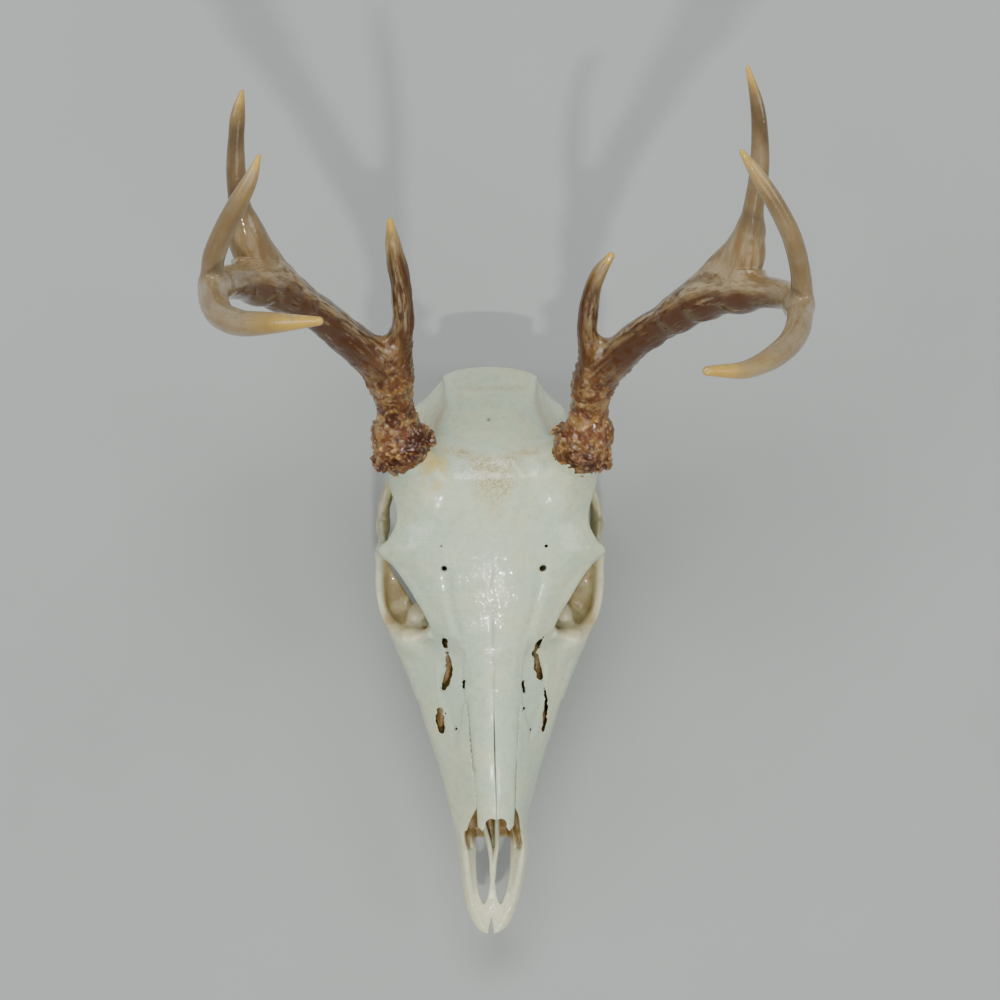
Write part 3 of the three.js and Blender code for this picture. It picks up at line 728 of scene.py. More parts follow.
# Holes in each side of the snout, as lengthwise rods of x, y and radius, bored straight down.
WINDOWS = {
    -1: [
        [(24.5, -67.5, 0.8), (23.6, -70, 1.7), (22.8, -73, 1.2)],
        [(22.2, -75.5, 0.9), (21.8, -79, 1.3), (21.4, -84, 1.9), (22.6, -90, 2.2), (24, -93.5, 1.6)],
        [(26.4, -105.5, 1.7), (26.2, -109, 2.2), (25.6, -114, 1.9), (25, -116.5, 1.2)],
        [(14, -89.6, 1.2), (14.6, -92.5, 1.5)],
        [(17, -82, 0.7)],
        [(18.4, -114, 0.7), (18.8, -112.5, 0.5)],
        [(23.4, -106.5, 0.6)],
    ],
    1: [
        [(25.3, -67.5, 0.7), (22.6, -71, 1.5), (20, -76.5, 1.1)],
        [(21.4, -77, 1.4), (22.4, -83, 2.5), (23.6, -88, 1.9)],
        [(26, -94, 0.6), (27, -99, 0.9), (26.9, -106, 1.5), (26.4, -112, 1.5), (25.8, -115.5, 1.1)],
        [(14.6, -90, 0.9), (15.4, -94.5, 1.4)],
        [(17, -80.5, 0.6)],
        [(15.3, -103, 0.9), (14.6, -104.5, 0.5)],
        [(18.6, -114.5, 0.7), (18.2, -116, 0.5)],
    ],
}


BORE_SPACING = 0.8
BORE_WANDER = 0.35


def bore_windows(clay):
    """Each hole is a row of close upright bores of uneven width, so its edge is ragged."""
    luck = np.random.default_rng(5)
    for side, holes in WINDOWS.items():
        for hole in holes:
            route = np.array(hole if len(hole) > 1 else hole * 2)
            for a, b in zip(route[:-1], route[1:]):
                count = int(np.hypot(*(b - a)[:2]) / BORE_SPACING) + 1
                for x, y, r in a + np.linspace(0, 1, count)[:, None] * (b - a):
                    x, y = np.array([x, y]) + luck.uniform(-BORE_WANDER, BORE_WANDER, 2)
                    clay.carve(post(side * x, y, 56, 92, r * luck.uniform(0.5, 0.88)), 0.3)


def snout_panel(points):
    """How deep the thin panel beside the nasals lies below the bone round it: a smooth step in from
    its outline, which is an oval over the snout with its middle at x = 20.5, y = -92."""
    x, y, z = points.T
    out = np.sqrt(((np.abs(x) - 20.5) / 7.2) ** 2 + ((y + 92) / 27) ** 2)
    wander = 0.16 * noise(points, 7, 31) + 0.05 * noise(points, 3, 32)
    return ease(out + wander, 1.14, 0.82) * ease(z, 62, 68)


def skull_relief(points, outward):
    """Bone added (above zero) or worn away, in mm, over the whole skull."""
    y = points[:, 1]
    up = ease(outward[:, 2], 0.1, 0.6)
    relief = 0.34 * noise(points, 24, 3) + 0.13 * noise(points, 9, 4) + 0.05 * noise(points, 3.6, 5)
    sunk = snout_panel(points)
    relief += (1.5 * sunk * (1 - sunk) - 0.75 * sunk) * up
    relief -= 0.18 * ease(from_seam(points), 1.2, 0) * ease(y, -76, -66) * ease(y, -18, -34) * up
    return relief


def from_seam(points):
    """Distance to the forehead's middle seam, which wanders as it runs."""
    return np.abs(points[:, 0] + 0.5 + 0.8 * noise(points * [0, 1, 0], 7, 6))


def bent(points):
    """Points moved sideways by the snout's bend, which the nasals and the whole muzzle share."""
    x, y, z = points.T
    share = np.maximum(ease(z, 48, 68), ease(y, -160, -178))
    return np.stack([x + snout_bend(y) * share, y, z], 1)


def fading(shape, y_low, y_high, by):
    """A shape that shrinks by that much from y_low to y_high."""
    low, high, depth = shape
    return low, high, lambda x, y, z: depth(x, y, z) + by * np.clip((y - y_low) / (y_high - y_low), 0, 1)


def nasal_seams(clay):
    """The bed that the nasals lie in, a hair wider than they are. It fades out behind, where the bones
    have grown together."""
    bed = nasal_shape(-0.3, lambda y: roof_x(y) - 0.12 + 0.3 * ease(y, -140, -156), 0.2)
    clay.carve(fading(bed, NASAL_FADE_Y - 12, NASAL_FADE_Y + 2, 3), 0.3)


def nasal_shape(inner, edge, spare=0.0):
    """A nasal from x = inner to its edge line: a plate with a rounded top, thicker below by spare."""

    def section(y):
        out = edge(y)
        across = [inner + (out - inner) * share for share in (0.05, 0.35, 0.65, 0.86)]
        top = [(x, nasal_height(x, y)) for x in across]
        low = nasal_height(out, y) - 2.2 - spare
        middle = nasal_height(0.5 * out, y) - NASAL_BONE - spare
        return [(inner, top[0][1] - 0.15), *top, (out, nasal_height(out, y) - 0.7), (out - 0.3, low),
                (0.5 * (inner + out), middle), (inner, crown(y) - NASAL_BONE - 0.6 - spare)]

    return loft(section, NASAL_TIP_Y - 8.5, NASAL_FADE_Y + 3, closed=True, steps=3)


# ---- Teeth and the inside of the nose ----

# Each cheek tooth: how far forward its middle is along the row, its length and its width.
TEETH = [(-116.5, 8.6, 6.2), (-107, 10, 8), (-96.6, 10.4, 9.6), (-84.6, 13, 12.4), (-70.6, 14.4, 13.4),
         (-56.2, 14, 13)]
MOLARS_Y = -90  # the teeth behind this have two lobes each
CROWN_HEIGHT = 11.6


def tooth_line(y):
    """Middle of the tooth row across the skull, and its biting surface."""
    biting = np.maximum(gum_z(y) - CROWN_HEIGHT + 1.2 * ease(y, -60, -118), 0)
    return gum_x(y) - 5.6, biting


def shape_teeth(clay):
    """Each lobe is a stack of flat ovals with a rib outside, cut off by a wavy biting surface in
    which the lobes of the larger teeth have two dents each."""
    for place, length, width in TEETH:
        lobes = 1 if place < MOLARS_Y else 2
        for lobe in range(lobes):
            y = place + (lobe - (lobes - 1) / 2) * length / lobes
            x, bite = tooth_line(y)
            half = length / lobes / 2 - 0.1
            top = gum_z(y) + 4
            for z in np.linspace(bite + 1.6, top, 6):
                share = (z - bite) / (top - bite)
                size = (width / 2 * (0.86 + 0.1 * share), half * (1.16 - 0.06 * share), 3)
                clay.add(ball((x + 0.7 * share, y, z), size), 1)
            clay.add(ball((x + width / 2 - 0.7, y, bite + 3.8), (1.2, half * 0.6, 5.5)), 1.2)

    def above_bite(x, y, z):
        return tooth_line(y)[1] + 0.9 * np.abs(np.sin((y + 3) * 0.45)) - z + 0 * x

    clay.keep(above_bite, 0.4)
    for place, length, width in TEETH[2:]:
        for lobe in (-1, 1) if place > MOLARS_Y else (0,):
            y = place + lobe * length / 4
            x, low = tooth_line(y)
            for side in (-1, 1):
                dent = (x + side * width / 5, y, low + 0.3)
                clay.carve(ball(dent, (0.85, length / (5 if lobe else 3), 1.5)), 0.5)


def shape_nose_inside(clay):
    """The thin wall on the midline, and on each side an upper scroll, hollowed along its length, a
    lower one, and the rods that show behind the windows."""
    clay.add(blade([[0, -158, 48, 0.9, 4], [0, -140, 47, 0.9, 8], [0, -100, 48, 0.9, 14],
                    [0, -70, 54, 0.9, 16]]), 1)
    upper = [(8, -154, 56, 2.6), (9, -140, 58, 4.4), (11, -118, 61, 6), (13, -96, 63, 6.4), (14, -78, 64, 5)]
    for x, y, z, r in smooth_route(upper, 6):
        clay.add(ball((x, y, z), (r * 0.8, 3.2, r)), 1.5)
        clay.carve(ball((x + 0.3, y, z - 0.2), (r * 0.8 - 1.1, 3.4, r - 1.2)), 0.4)
    lower = [(8, -150, 47, 2.2), (10, -130, 48, 4), (12, -105, 49, 5), (13, -85, 50, 4.4)]
    for x, y, z, r in smooth_route(lower, 6):
        clay.add(ball((x, y, z), (r * 0.9, 3.6, r * 0.8)), 1.5)
    clay.add(rod([[24, -68, 64, 3.4], [21.5, -80, 64, 3.8], [22, -90, 61, 3.6], [24, -100, 55, 3],
                  [25.4, -117, 49, 2.6]]), 1.5)
    clay.add(rod([[12, -84, 76, 1.8], [12.5, -96, 73, 1.8]]), 1)


# ---- Antlers ----

# Centre lines as x, y, z and diameter. The beam starts at the burr, each tine inside the beam.
BEAMS = {
    -1: [
        [-43.3, 24.2, 104, 24.2], [-47.2, 40.9, 112, 21.2], [-53, 60.8, 128, 20.9], [-69.3, 74.7, 150, 17.7],
        [-87.2, 87.5, 178, 16.9], [-106.6, 94.8, 212, 16.4], [-119.7, 93.8, 245, 15.5],
        [-124.7, 87.6, 275, 13.8], [-120.9, 76.4, 303, 11.8], [-110.8, 71, 324, 10.8],
        [-96.4, 69.7, 344, 8.3], [-78.7, 69.4, 360, 3.5],
    ],
    1: [
        [41.6, 24.3, 104, 24.3], [44.8, 41, 113, 20.7], [48.5, 58.2, 127, 20.5], [58.2, 69.5, 147, 17.9],
        [72.6, 80.6, 172, 16.6], [88.7, 88.8, 200, 16.2], [105.3, 91.2, 228, 15], [117.2, 88.9, 252, 12.9],
        [121.3, 82, 276, 11.4], [117.2, 71, 302, 11.1], [108, 60.8, 322, 10.1], [90.6, 51.9, 345, 7.5],
        [72.2, 50.3, 362, 3.9],
    ],
}
TINES = {
    -1: [
        [[-49, 58, 126, 14], [-46.9, 67.3, 132, 12.3], [-44.6, 83.3, 148, 10.8], [-45.6, 99.4, 162, 9.7],
         [-48.9, 114.4, 175, 8.2], [-50.8, 126.7, 184, 3.2]],
        [[-110.2, 96, 217, 13.6], [-113.7, 115.7, 228, 13.1], [-116.2, 129, 238, 9.5],
         [-117, 141.6, 248, 8.6], [-116.5, 153.4, 256, 7.2], [-115.4, 163.2, 262, 6.4],
         [-113.4, 172.3, 267, 2.1]],
        [[-125.1, 89.4, 268, 10.1], [-124.7, 99.1, 282, 9.6], [-120.2, 109.2, 294, 9.1],
         [-113.5, 120.5, 304, 8.2], [-107.8, 129.7, 312, 6.1], [-103.9, 138.7, 318, 2]],
    ],
    1: [
        [[45, 56, 126, 14], [45.1, 65.5, 134, 12.3], [41.8, 79.9, 146, 9.9], [42.3, 93.1, 158, 8.8],
         [45.2, 103.9, 168, 7.4], [50.7, 112.2, 174, 3.7]],
        [[105.4, 92.8, 224, 13.6], [106.1, 111.6, 235, 12.3], [106.5, 127.7, 248, 9.1],
         [107.5, 139.7, 256, 8.6], [106.8, 153.7, 264, 7.7], [104.6, 167.6, 271, 5.9],
         [100, 182.4, 276, 2.1]],
        [[122.3, 81.2, 275, 11], [120.4, 92.7, 290, 8.8], [114.8, 107.1, 304, 8.2], [106.2, 120.3, 315, 7.7],
         [97.7, 131.1, 323, 6.1], [90.5, 140.1, 328, 2.4]],
    ],
}
FORK_REACH = (9, 11, 5)  # how far the beam's surface flows into each tine
# Flat bone that fills the corner between the beam and the second tine, from the one to the other.
WEBS = {
    -1: [[[-93, 91, 189, 6.6], [-113.8, 119, 230, 4.6]], [[-101, 94, 202, 7.4], [-113.4, 113, 226, 6]]],
    1: [[[80, 85.5, 187, 6.6], [106, 117, 239, 4.4]], [[91, 90, 205, 7.2], [106, 108, 232, 5.8]]],
}
ANTLER_STEP = 0.62
ROUTE_STEPS = 6
PEARLED_LENGTH = 78  # pearls fade out this far up the beam and the brow tine
GROOVE_WIDTH = 2.3
BURR_PEARLS = 96
GOLDEN_TURN = 0.381966  # the golden angle as a share of a full turn
BEAM, BROW_TINE = 0, 1  # numbers of the first two branches
# Beam, brow tine, second tine, third tine: how far the worn pale colour reaches from the tip, in mm,
# how strong it is, how far the ivory at the very tip reaches, and how dusky the branch is.
PALE_LENGTH = np.array([46, 20, 16, 26])
PALE_SHARE = np.array([0.45, 0.25, 0.5, 0.35])
TIP_LENGTH = np.array([26, 6, 8, 9])
DUSK_SHARE = np.array([0.3, 0, 1.0, 0.8])


def seat_of(side):
    """The middle of an antler's foot, the direction it grows in and two directions across."""
    axis = SEAT_AXIS * [side, 1, 1]
    across = np.cross(axis, [0, 0, 1])
    across /= np.linalg.norm(across)
    return np.array(SEATS[side], float), axis, across, np.cross(axis, across)


def branches(side):
    """The centre lines of one antler as smooth routes of x, y, z and radius."""
    lines = (BEAMS[side], *TINES[side])
    routes = [smooth_route(np.array(line) * [1, 1, 1, 0.5], ROUTE_STEPS) for line in lines]
    walked = np.linalg.norm(routes[0][:, :3] - SEATS[side], axis=1)
    routes[0][:, 3] -= 1.3 * ease(walked, 60, 20)  # the pearls make up for this
    return routes


def add_branch(clay, route, reach):
    """Adds a long round branch one short stretch at a time, each in its own small window."""
    r = route[:, 3:]
    cut, _ = clay.window((route[:, :3] - r).min(0), (route[:, :3] + r).max(0), reach + 3)
    branch = np.full(clay.depth[cut].shape, FAR, np.float32)
    corner = np.array([part.start for part in cut])
    for a, b in zip(route[:-1], route[1:]):
        low, high, depth = rod([a, b])
        inner, at = clay.window(low, high, reach + 2)
        inner = tuple(slice(max(part.start - c, 0), part.stop - c) for part, c in zip(inner, corner))
        branch[inner] = np.minimum(branch[inner], depth(*at))
    clay.depth[cut] = soft_min(clay.depth[cut], branch, reach)


def shape_antler(side):
    """Beam and tines flow together, the webs fill the second fork, and the burr is a thick ring set
    with three rows of pearls, a golden angle apart."""
    routes = branches(side)
    every = np.concatenate(routes)
    clay = Clay(every[:, :3].min(0) - [20, 16, 14], every[:, :3].max(0) + [20, 8, 6], ANTLER_STEP)
    for route, reach in zip(routes, (0, *FORK_REACH)):
        add_branch(clay, route, reach)
    for web in WEBS[side]:
        clay.add(rod(web), 7)
    seat, axis, across, up = seat_of(side)
    ring = [(-1.5, 12.6), (1.5, 14), (4, 13.2), (11, 11)]
    clay.add(rod([[*(seat + climb * axis), radius] for climb, radius in ring]), 3)
    luck = np.random.default_rng(7 + side)
    for k in range(BURR_PEARLS):
        angle = 2 * math.pi * (k * GOLDEN_TURN + 0.01 * luck.random())
        row = k % 3
        size = luck.uniform(1.1, 2.4) * (1, 0.9, 0.8)[row]
        out = (15.0, 14.0, 11.8)[row] + luck.uniform(-0.8, 1.5)
        climb = (0.6, 3.2, 6.4)[row] + luck.uniform(-1.2, 1.2)
        at = seat + climb * axis + out * (math.cos(angle) * across + math.sin(angle) * up)
        clay.add(ball(at, size * luck.uniform(0.85, 1.3, 3)), 0.7)
    return clay, routes


def follow(points, routes):
    """For each point: place on the nearest branch as (distance up the antler, offset across in two
    directions, branch radius), how clearly that branch is the nearest, and its distance to a tip."""
    best = np.full(len(points), 99.0)
    second = best.copy()
    local = np.zeros((len(points), 6))
    beam_lengths = np.concatenate([[0], np.cumsum(np.linalg.norm(np.diff(routes[0][:, :3], axis=0), axis=1))])
    for number, route in enumerate(routes):
        spots, radii = route[:, :3], route[:, 3]
        runs = np.diff(spots, axis=0)
        lengths = np.linalg.norm(runs, axis=1)
        nearest_on_beam = np.argmin(np.linalg.norm(routes[0][:, :3] - spots[0], axis=1))
        start = beam_lengths[nearest_on_beam] if number else 0
        total = lengths.sum()
        side = np.cross(runs[0], [0.3, -0.2, 1])
        own = np.full(len(points), 99.0)
        mine = np.zeros((len(points), 6))
        walked = 0
        for a, run, length, ra, rb in zip(spots, runs, lengths, radii, radii[1:]):
            way = run / length
            side = side - (side @ way) * way
            side /= np.linalg.norm(side)
            other = np.cross(way, side)
            offset = points - a
            share = np.clip(offset @ way / length, 0, 1)
            radius = ra + share * (rb - ra)
            offset = offset - share[:, None] * run
            gap = np.linalg.norm(offset, axis=1) - radius
            closer = gap < own
            values = [start + walked + share * length, offset @ side, offset @ other, radius,
                      total - walked - share * length, np.full(len(points), number)]
            mine[closer] = np.stack(values, 1)[closer]
            own = np.minimum(own, gap)
            walked += length
        closer = own < best
        second = np.where(closer, best, np.minimum(second, own))
        local[closer] = mine[closer]
        best = np.minimum(best, own)
    return local, ease(second - best, 0.5, 5)


def antler_relief(points, local, clear):
    """Pearls near the burr, and long furrows that die away towards the tips, in mm."""
    up, radius, left, branch = local[:, 0], local[:, 3], local[:, 4], local[:, 5]
    around = local[:, 1:3] / np.maximum(np.linalg.norm(local[:, 1:3], axis=1), 0.5)[:, None]
    around = around * np.minimum(radius, 9)[:, None]
    column = np.stack([around[:, 0], around[:, 1], up * GROOVE_WIDTH / 15], 1)
    furrow = 1 - 2 * np.abs(noise(column, GROOVE_WIDTH, 11))
    furrow += 0.5 * (1 - 2 * np.abs(noise(column + 40, GROOVE_WIDTH * 0.55, 12)))
    rough = ease(up, 250, 60) * np.where(branch == BROW_TINE, ease(left, 4, 26), ease(left, 12, 60))
    rough = np.maximum(rough, 0.32 * ease(left, 25, 90)) * np.where(branch > BROW_TINE, 0.35, 1)
    fewer = 0.3 * ((branch == BROW_TINE) * 0.75)
    pearled = ease(up, PEARLED_LENGTH + 6, PEARLED_LENGTH - 42) * (1 - fewer)
    shoved = points + np.stack([noise(points, 5, 31 + k) for k in range(3)], 1) * 2.4
    coarse = ease(beads(shoved, 4.6, 13), 0.66, 0.1)
    fine = ease(beads(shoved, 2.4, 17), 0.62, 0.15)
    patchy = 0.35 + 0.65 * ease(noise(points, 9, 21), -0.5, 0.4)
    pearls = (1.15 * coarse * patchy + 0.55 * fine - 0.45) * pearled
    wave = 0.45 * noise(points, 13, 22) + 0.2 * noise(points, 6, 23)
    relief = -0.42 * np.clip(furrow, -1, 1) * rough * clear * (1 - 0.6 * pearled) + pearls
    grain = np.stack([around[:, 0], around[:, 1], up / 7], 1)
    return relief + wave * (0.25 + 0.75 * rough) * ease(left, 2, 25), furrow, grain, rough, pearled


# ---- Pieces ----


def tidy(points, quads, least=400):
    """Drops crumbs: every point takes the lowest number among the points it is joined to, again and
    again, and groups of fewer points than least go."""
    ends = np.concatenate([quads[:, [k, k + 1]] for k in range(3)])
    label = np.arange(len(points))
    while True:
        low = np.minimum(label[ends[:, 0]], label[ends[:, 1]])
        after = label.copy()
        np.minimum.at(after, ends[:, 0], low)
        np.minimum.at(after, ends[:, 1], low)
        after = after[after]
        if (after == label).all():
            break
        label = after
    stays = np.bincount(label, minlength=len(points))[label] >= least
    quads = quads[stays[quads[:, 0]]]
    number = np.cumsum(stays) - 1
    return points[stays], number[quads]


def evened(values, quads, times):
    """A mask evened out over the mesh: each point takes the mean of the faces round it, again and again."""
    shares = np.bincount(quads.ravel(), minlength=len(values))
    for _ in range(times):
        face_mean = np.repeat(values[quads].mean(1), 4)
        values = np.bincount(quads.ravel(), face_mean, len(values)) / np.maximum(shares, 1)
    return values


def make(name, points, quads, masks, slot, nodes):
    """A smooth-shaded object from points in millimetres, with one number per point for each mask."""
    mesh = bpy.data.meshes.new(name)
    mesh.vertices.add(len(points))
    mesh.vertices.foreach_set("co", ((points + SHIFT) * MM).astype(np.float32).ravel())
    mesh.loops.add(quads.size)
    mesh.loops.foreach_set("vertex_index", quads.astype(np.int32).ravel())
    mesh.polygons.add(len(quads))
    mesh.polygons.foreach_set("loop_start", np.arange(0, quads.size, 4, dtype=np.int32))
    mesh.update(calc_edges=True)
    mesh.validate()
    mesh.polygons.foreach_set("use_smooth", np.ones(len(mesh.polygons), bool))
    for key, values in masks.items():
        mesh.attributes.new(key, "FLOAT", "POINT").data.foreach_set("value", values.astype(np.float32))
    piece = bpy.data.objects.new(name, mesh)
    bpy.context.scene.collection.objects.link(piece)
    mesh.materials.append(MATERIALS[slot])
    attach(piece, "root")
    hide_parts(*nodes)


def trim_at_seams(clay, low, high):
    """Keeps a piece to its own stretch of y. Past each end it runs on a little, sinking under its
    neighbour's surface, so that the two meet without a step."""
    y = clay.axes[1][None, :, None]
    past = np.maximum(low - y, y - high)
    clay.depth = np.maximum(clay.depth + SEAM_LAP * np.clip(past, 0, 3) / 1.5, past - 1.6)


# The airway of the nose by itself, to tell which bone faces it.
AIRWAY = Clay((0, -178, 34), (50, -60, 96), 1.0)
AIRWAY.add(loft(airway_section, -176, -64), 0)


def in_radii(points, centre, radii):
    """Distance from the centre of an oval, in its own radii."""
    return np.linalg.norm((points - centre) / np.array(radii), axis=1)


def hollow_mask(clay, points):
    """1 in grooves and pits, where the surface curves inwards; the materials paint shade there."""
    return ease(-clay.bulge(points, 1.2), 0.1, 0.7)


def skull_masks(clay, points, outward):
    """Numbers from 0 to 1 that the bone material reads: painted shade in hollows, from the curvature; painted
    shade in the eye sockets, under the cheek arches and on the temples; painted shade in holes, with the dark
    middle seam; the airway's brown staining with painted shade; and how stained each place is. Each is a
    product of eases along x, y and z, so it fades out on every side."""
    x, y, z = points.T
    off = np.abs(x)
    half = np.stack([off, y, z], 1)
    up = ease(outward[:, 2], 0, 0.5)

    # Painted shade: inside the eye socket, under the cheek arch, deep behind the sockets and on the temples
    # outside the temporal lines.
    socket = in_radii(half, ORBIT_CENTRE, ORBIT_RADII)
    in_socket = ease(socket, 1.14, 1.0) * ease(off, 56, 51.5) * ease(z, 83, 76)
    in_socket *= 1 - 0.55 * ease(in_radii(half, [37, -57.5, 56], [7, 9, 8]), 1.2, 0.8)
    in_socket *= 1 - 0.5 * ease(y, -60, -66)
    arch = ease(off, 44, 50) * ease(y, -27, -18) * ease(z, 66, 60) * 0.75
    deep = ease(off, 40, 30) * ease(z, 68, 58) * ease(y, -64, -56) * ease(y, 20, 0) * 0.75
    temple = ease(off - case_line_x(y), -0.5, 3) * ease(y, 12, 26) * ease(y, 72, 64)
    temple = 0.75 * temple * ease(z, 45, 75)

    # The airway, the nostril openings and the recesses beside them: brown staining, which the bone material
    # mixes with painted shade.
    opening = ease(off - nostril_x(y), 1.6, 0.4) * ease(z, 62, 58) * ease(y, -148, -152)
    bars = ease(np.abs(off - bar_x(y)), 1.5, 0.9) * ease(y, -157, -162) * ease(z, 45, 46)
    nose = np.maximum(ease(AIRWAY.at(half), 1.3, 0.3), opening) * ease(y, -177, -168) * ease(y, -60, -64)
    recess = ease(np.abs(off - 13.5), 3, 1.5) * ease(y, -178, -173) * ease(y, -150, -155) * ease(z, 58, 54)
    nose = np.maximum(nose, 0.8 * recess) * (1 - 0.85 * bars)

    # Painted shade in the holes over each eye and in the small hole at the back of the crown, with the
    # forehead's dark middle seam.
    holes = ease(np.hypot(off - 24.2, y + 33.6), 2.6, 2.0), ease(np.hypot(off - 25.8, y + 22.7), 1.5, 1.0)
    pit_shade_and_seam = np.maximum(*holes) * ease(brow_height(x, y) - z, 1.0, 2.6) * ease(z, 78, 82)
    pit_shade_and_seam = np.maximum(pit_shade_and_seam, 0.7 * ease(np.hypot(x + 2, y - 39.5), 1.3, 0.5) * ease(z, 70, 80))
    seam = 0.3 * ease(from_seam(points), 0.9, 0.3) * ease(y, -99, -95) * ease(y, -16, -45)
    pit_shade_and_seam = np.maximum(pit_shade_and_seam, seam * ease(outward[:, 2], 0.5, 0.8))

    ragged = 2.5 * noise(points, 5, 44)
    middle = np.abs(x + 0.4)
    zigzag = ease(middle + ragged, 11 + 0.2 * y, 6) * ease(y + ragged, 20.5, 17.5) * ease(y, -4, 8)
    tail = 0.6 * ease(middle, 5.5, 2.5) * ease(y, -14, 2) * ease(y, 20, 12)
    arms = ease(np.abs(y - 18.5 - 0.28 * off), 3.6, 0.8) * ease(off, 30, 16) * 0.8
    lambdoid = ease(np.abs(y - 55.5 - 0.02 * off), 1.8, 0.3) * ease(off, 22, 17) * 0.4
    nasion = np.abs(np.hypot((np.abs(x - 0.3) - 6.6) / 5.6, (y + 84) / 9) - 1)
    nasion = ease(nasion, 0.14, 0.03) * ease(y, -90, -80) * 0.35

    right_stain = ease(in_radii(points, [-29.5, 18, 100], [9, 18, 30]), 1.1, 0.3)
    left_stain = 0.4 * ease(in_radii(points, [30, 24, 100], [6, 9, 30]), 1.1, 0.2)
    cream = np.maximum(0.75 * ease(y, -148, -184), 0.3 * ease(z, 70, 40) * ease(y, -60, -20))
    rim = 0.8 * ease(socket, 1.3, 1.16) * ease(off, 24, 34) * ease(z, 86, 80)
    return {
        "hollow": ease(-clay.bulge(points, 1.6), 0.08, 0.6),
        "shade": np.maximum.reduce([in_socket, 0.9 * arch, deep, temple]),
        "nose": nose,
        "pit_shade_and_seam": pit_shade_and_seam,
        "suture": np.maximum.reduce([zigzag, tail, arms, lambdoid, nasion]) * up,
        "yellow": np.maximum(right_stain, left_stain),
        "cream": np.maximum(cream, rim),
        "panel": snout_panel(points) * ease(outward[:, 2], 0, 0.4),
    }


def bone_piece(name, low, high, step, nodes):
    """A stretch of the skull from y = low to y = high."""
    clay = Clay((0, low - 4, SKULL_LOW_Z), (SKULL_HALF_WIDTH, high + 4, SKULL_HIGH_Z), step)
    for shape in (shape_face, shape_case, shape_orbit, shape_pedicle, shape_underside, bore_small_holes):
        shape(clay)
    clay.mirrored()
    if low < NASAL_FADE_Y:
        nasal_seams(clay)
        clay.depth = np.maximum(clay.depth, clay.depth[::-1])
    if low < WINDOWS_END_Y:
        bore_windows(clay)
    trim_at_seams(clay, low, high)
    points, quads = tidy(*clay.surface())
    outward = clay.outward(points)
    masks = skull_masks(clay, points, outward)
    points = points + outward * skull_relief(points, outward)[:, None]
    make(name, bent(points), quads, masks, "bone", nodes)


def side_name(side):
    return "left" if side > 0 else "right"


def both(*names):
    """Each name for the right and the left side."""
    return [f"{name}_{side_name(side)}" for name in names for side in (-1, 1)]


# ---- Materials ----


def soft_patches():
    """A node group that every material places with its own values. Its mask is noise, eased from To Low
    to To High as the noise goes from Low to High."""
    group = bpy.data.node_groups.new("soft_patches", "ShaderNodeTree")
    group.interface.new_socket("Vector", in_out="INPUT", socket_type="NodeSocketVector")
    noise_names = ("Scale", "Detail", "Roughness", "Distortion")
    range_names = ("Low", "High", "To Low", "To High")
    for name in (*noise_names, *range_names):
        group.interface.new_socket(name, in_out="INPUT", socket_type="NodeSocketFloat")
    group.interface.new_socket("Mask", in_out="OUTPUT", socket_type="NodeSocketFloat")
    given = group.nodes.new("NodeGroupInput").outputs
    noisy = group.nodes.new("ShaderNodeTexNoise")
    eased = group.nodes.new("ShaderNodeMapRange")
    eased.interpolation_type = "SMOOTHSTEP"
    for name in ("Vector", *noise_names):
        group.links.new(given[name], noisy.inputs[name])
    group.links.new(noisy.outputs["Fac"], eased.inputs[0])
    for place, name in enumerate(range_names, 1):
        group.links.new(given[name], eased.inputs[place])
    group.links.new(eased.outputs[0], group.nodes.new("NodeGroupOutput").inputs["Mask"])
    return group


SOFT_PATCHES = soft_patches()


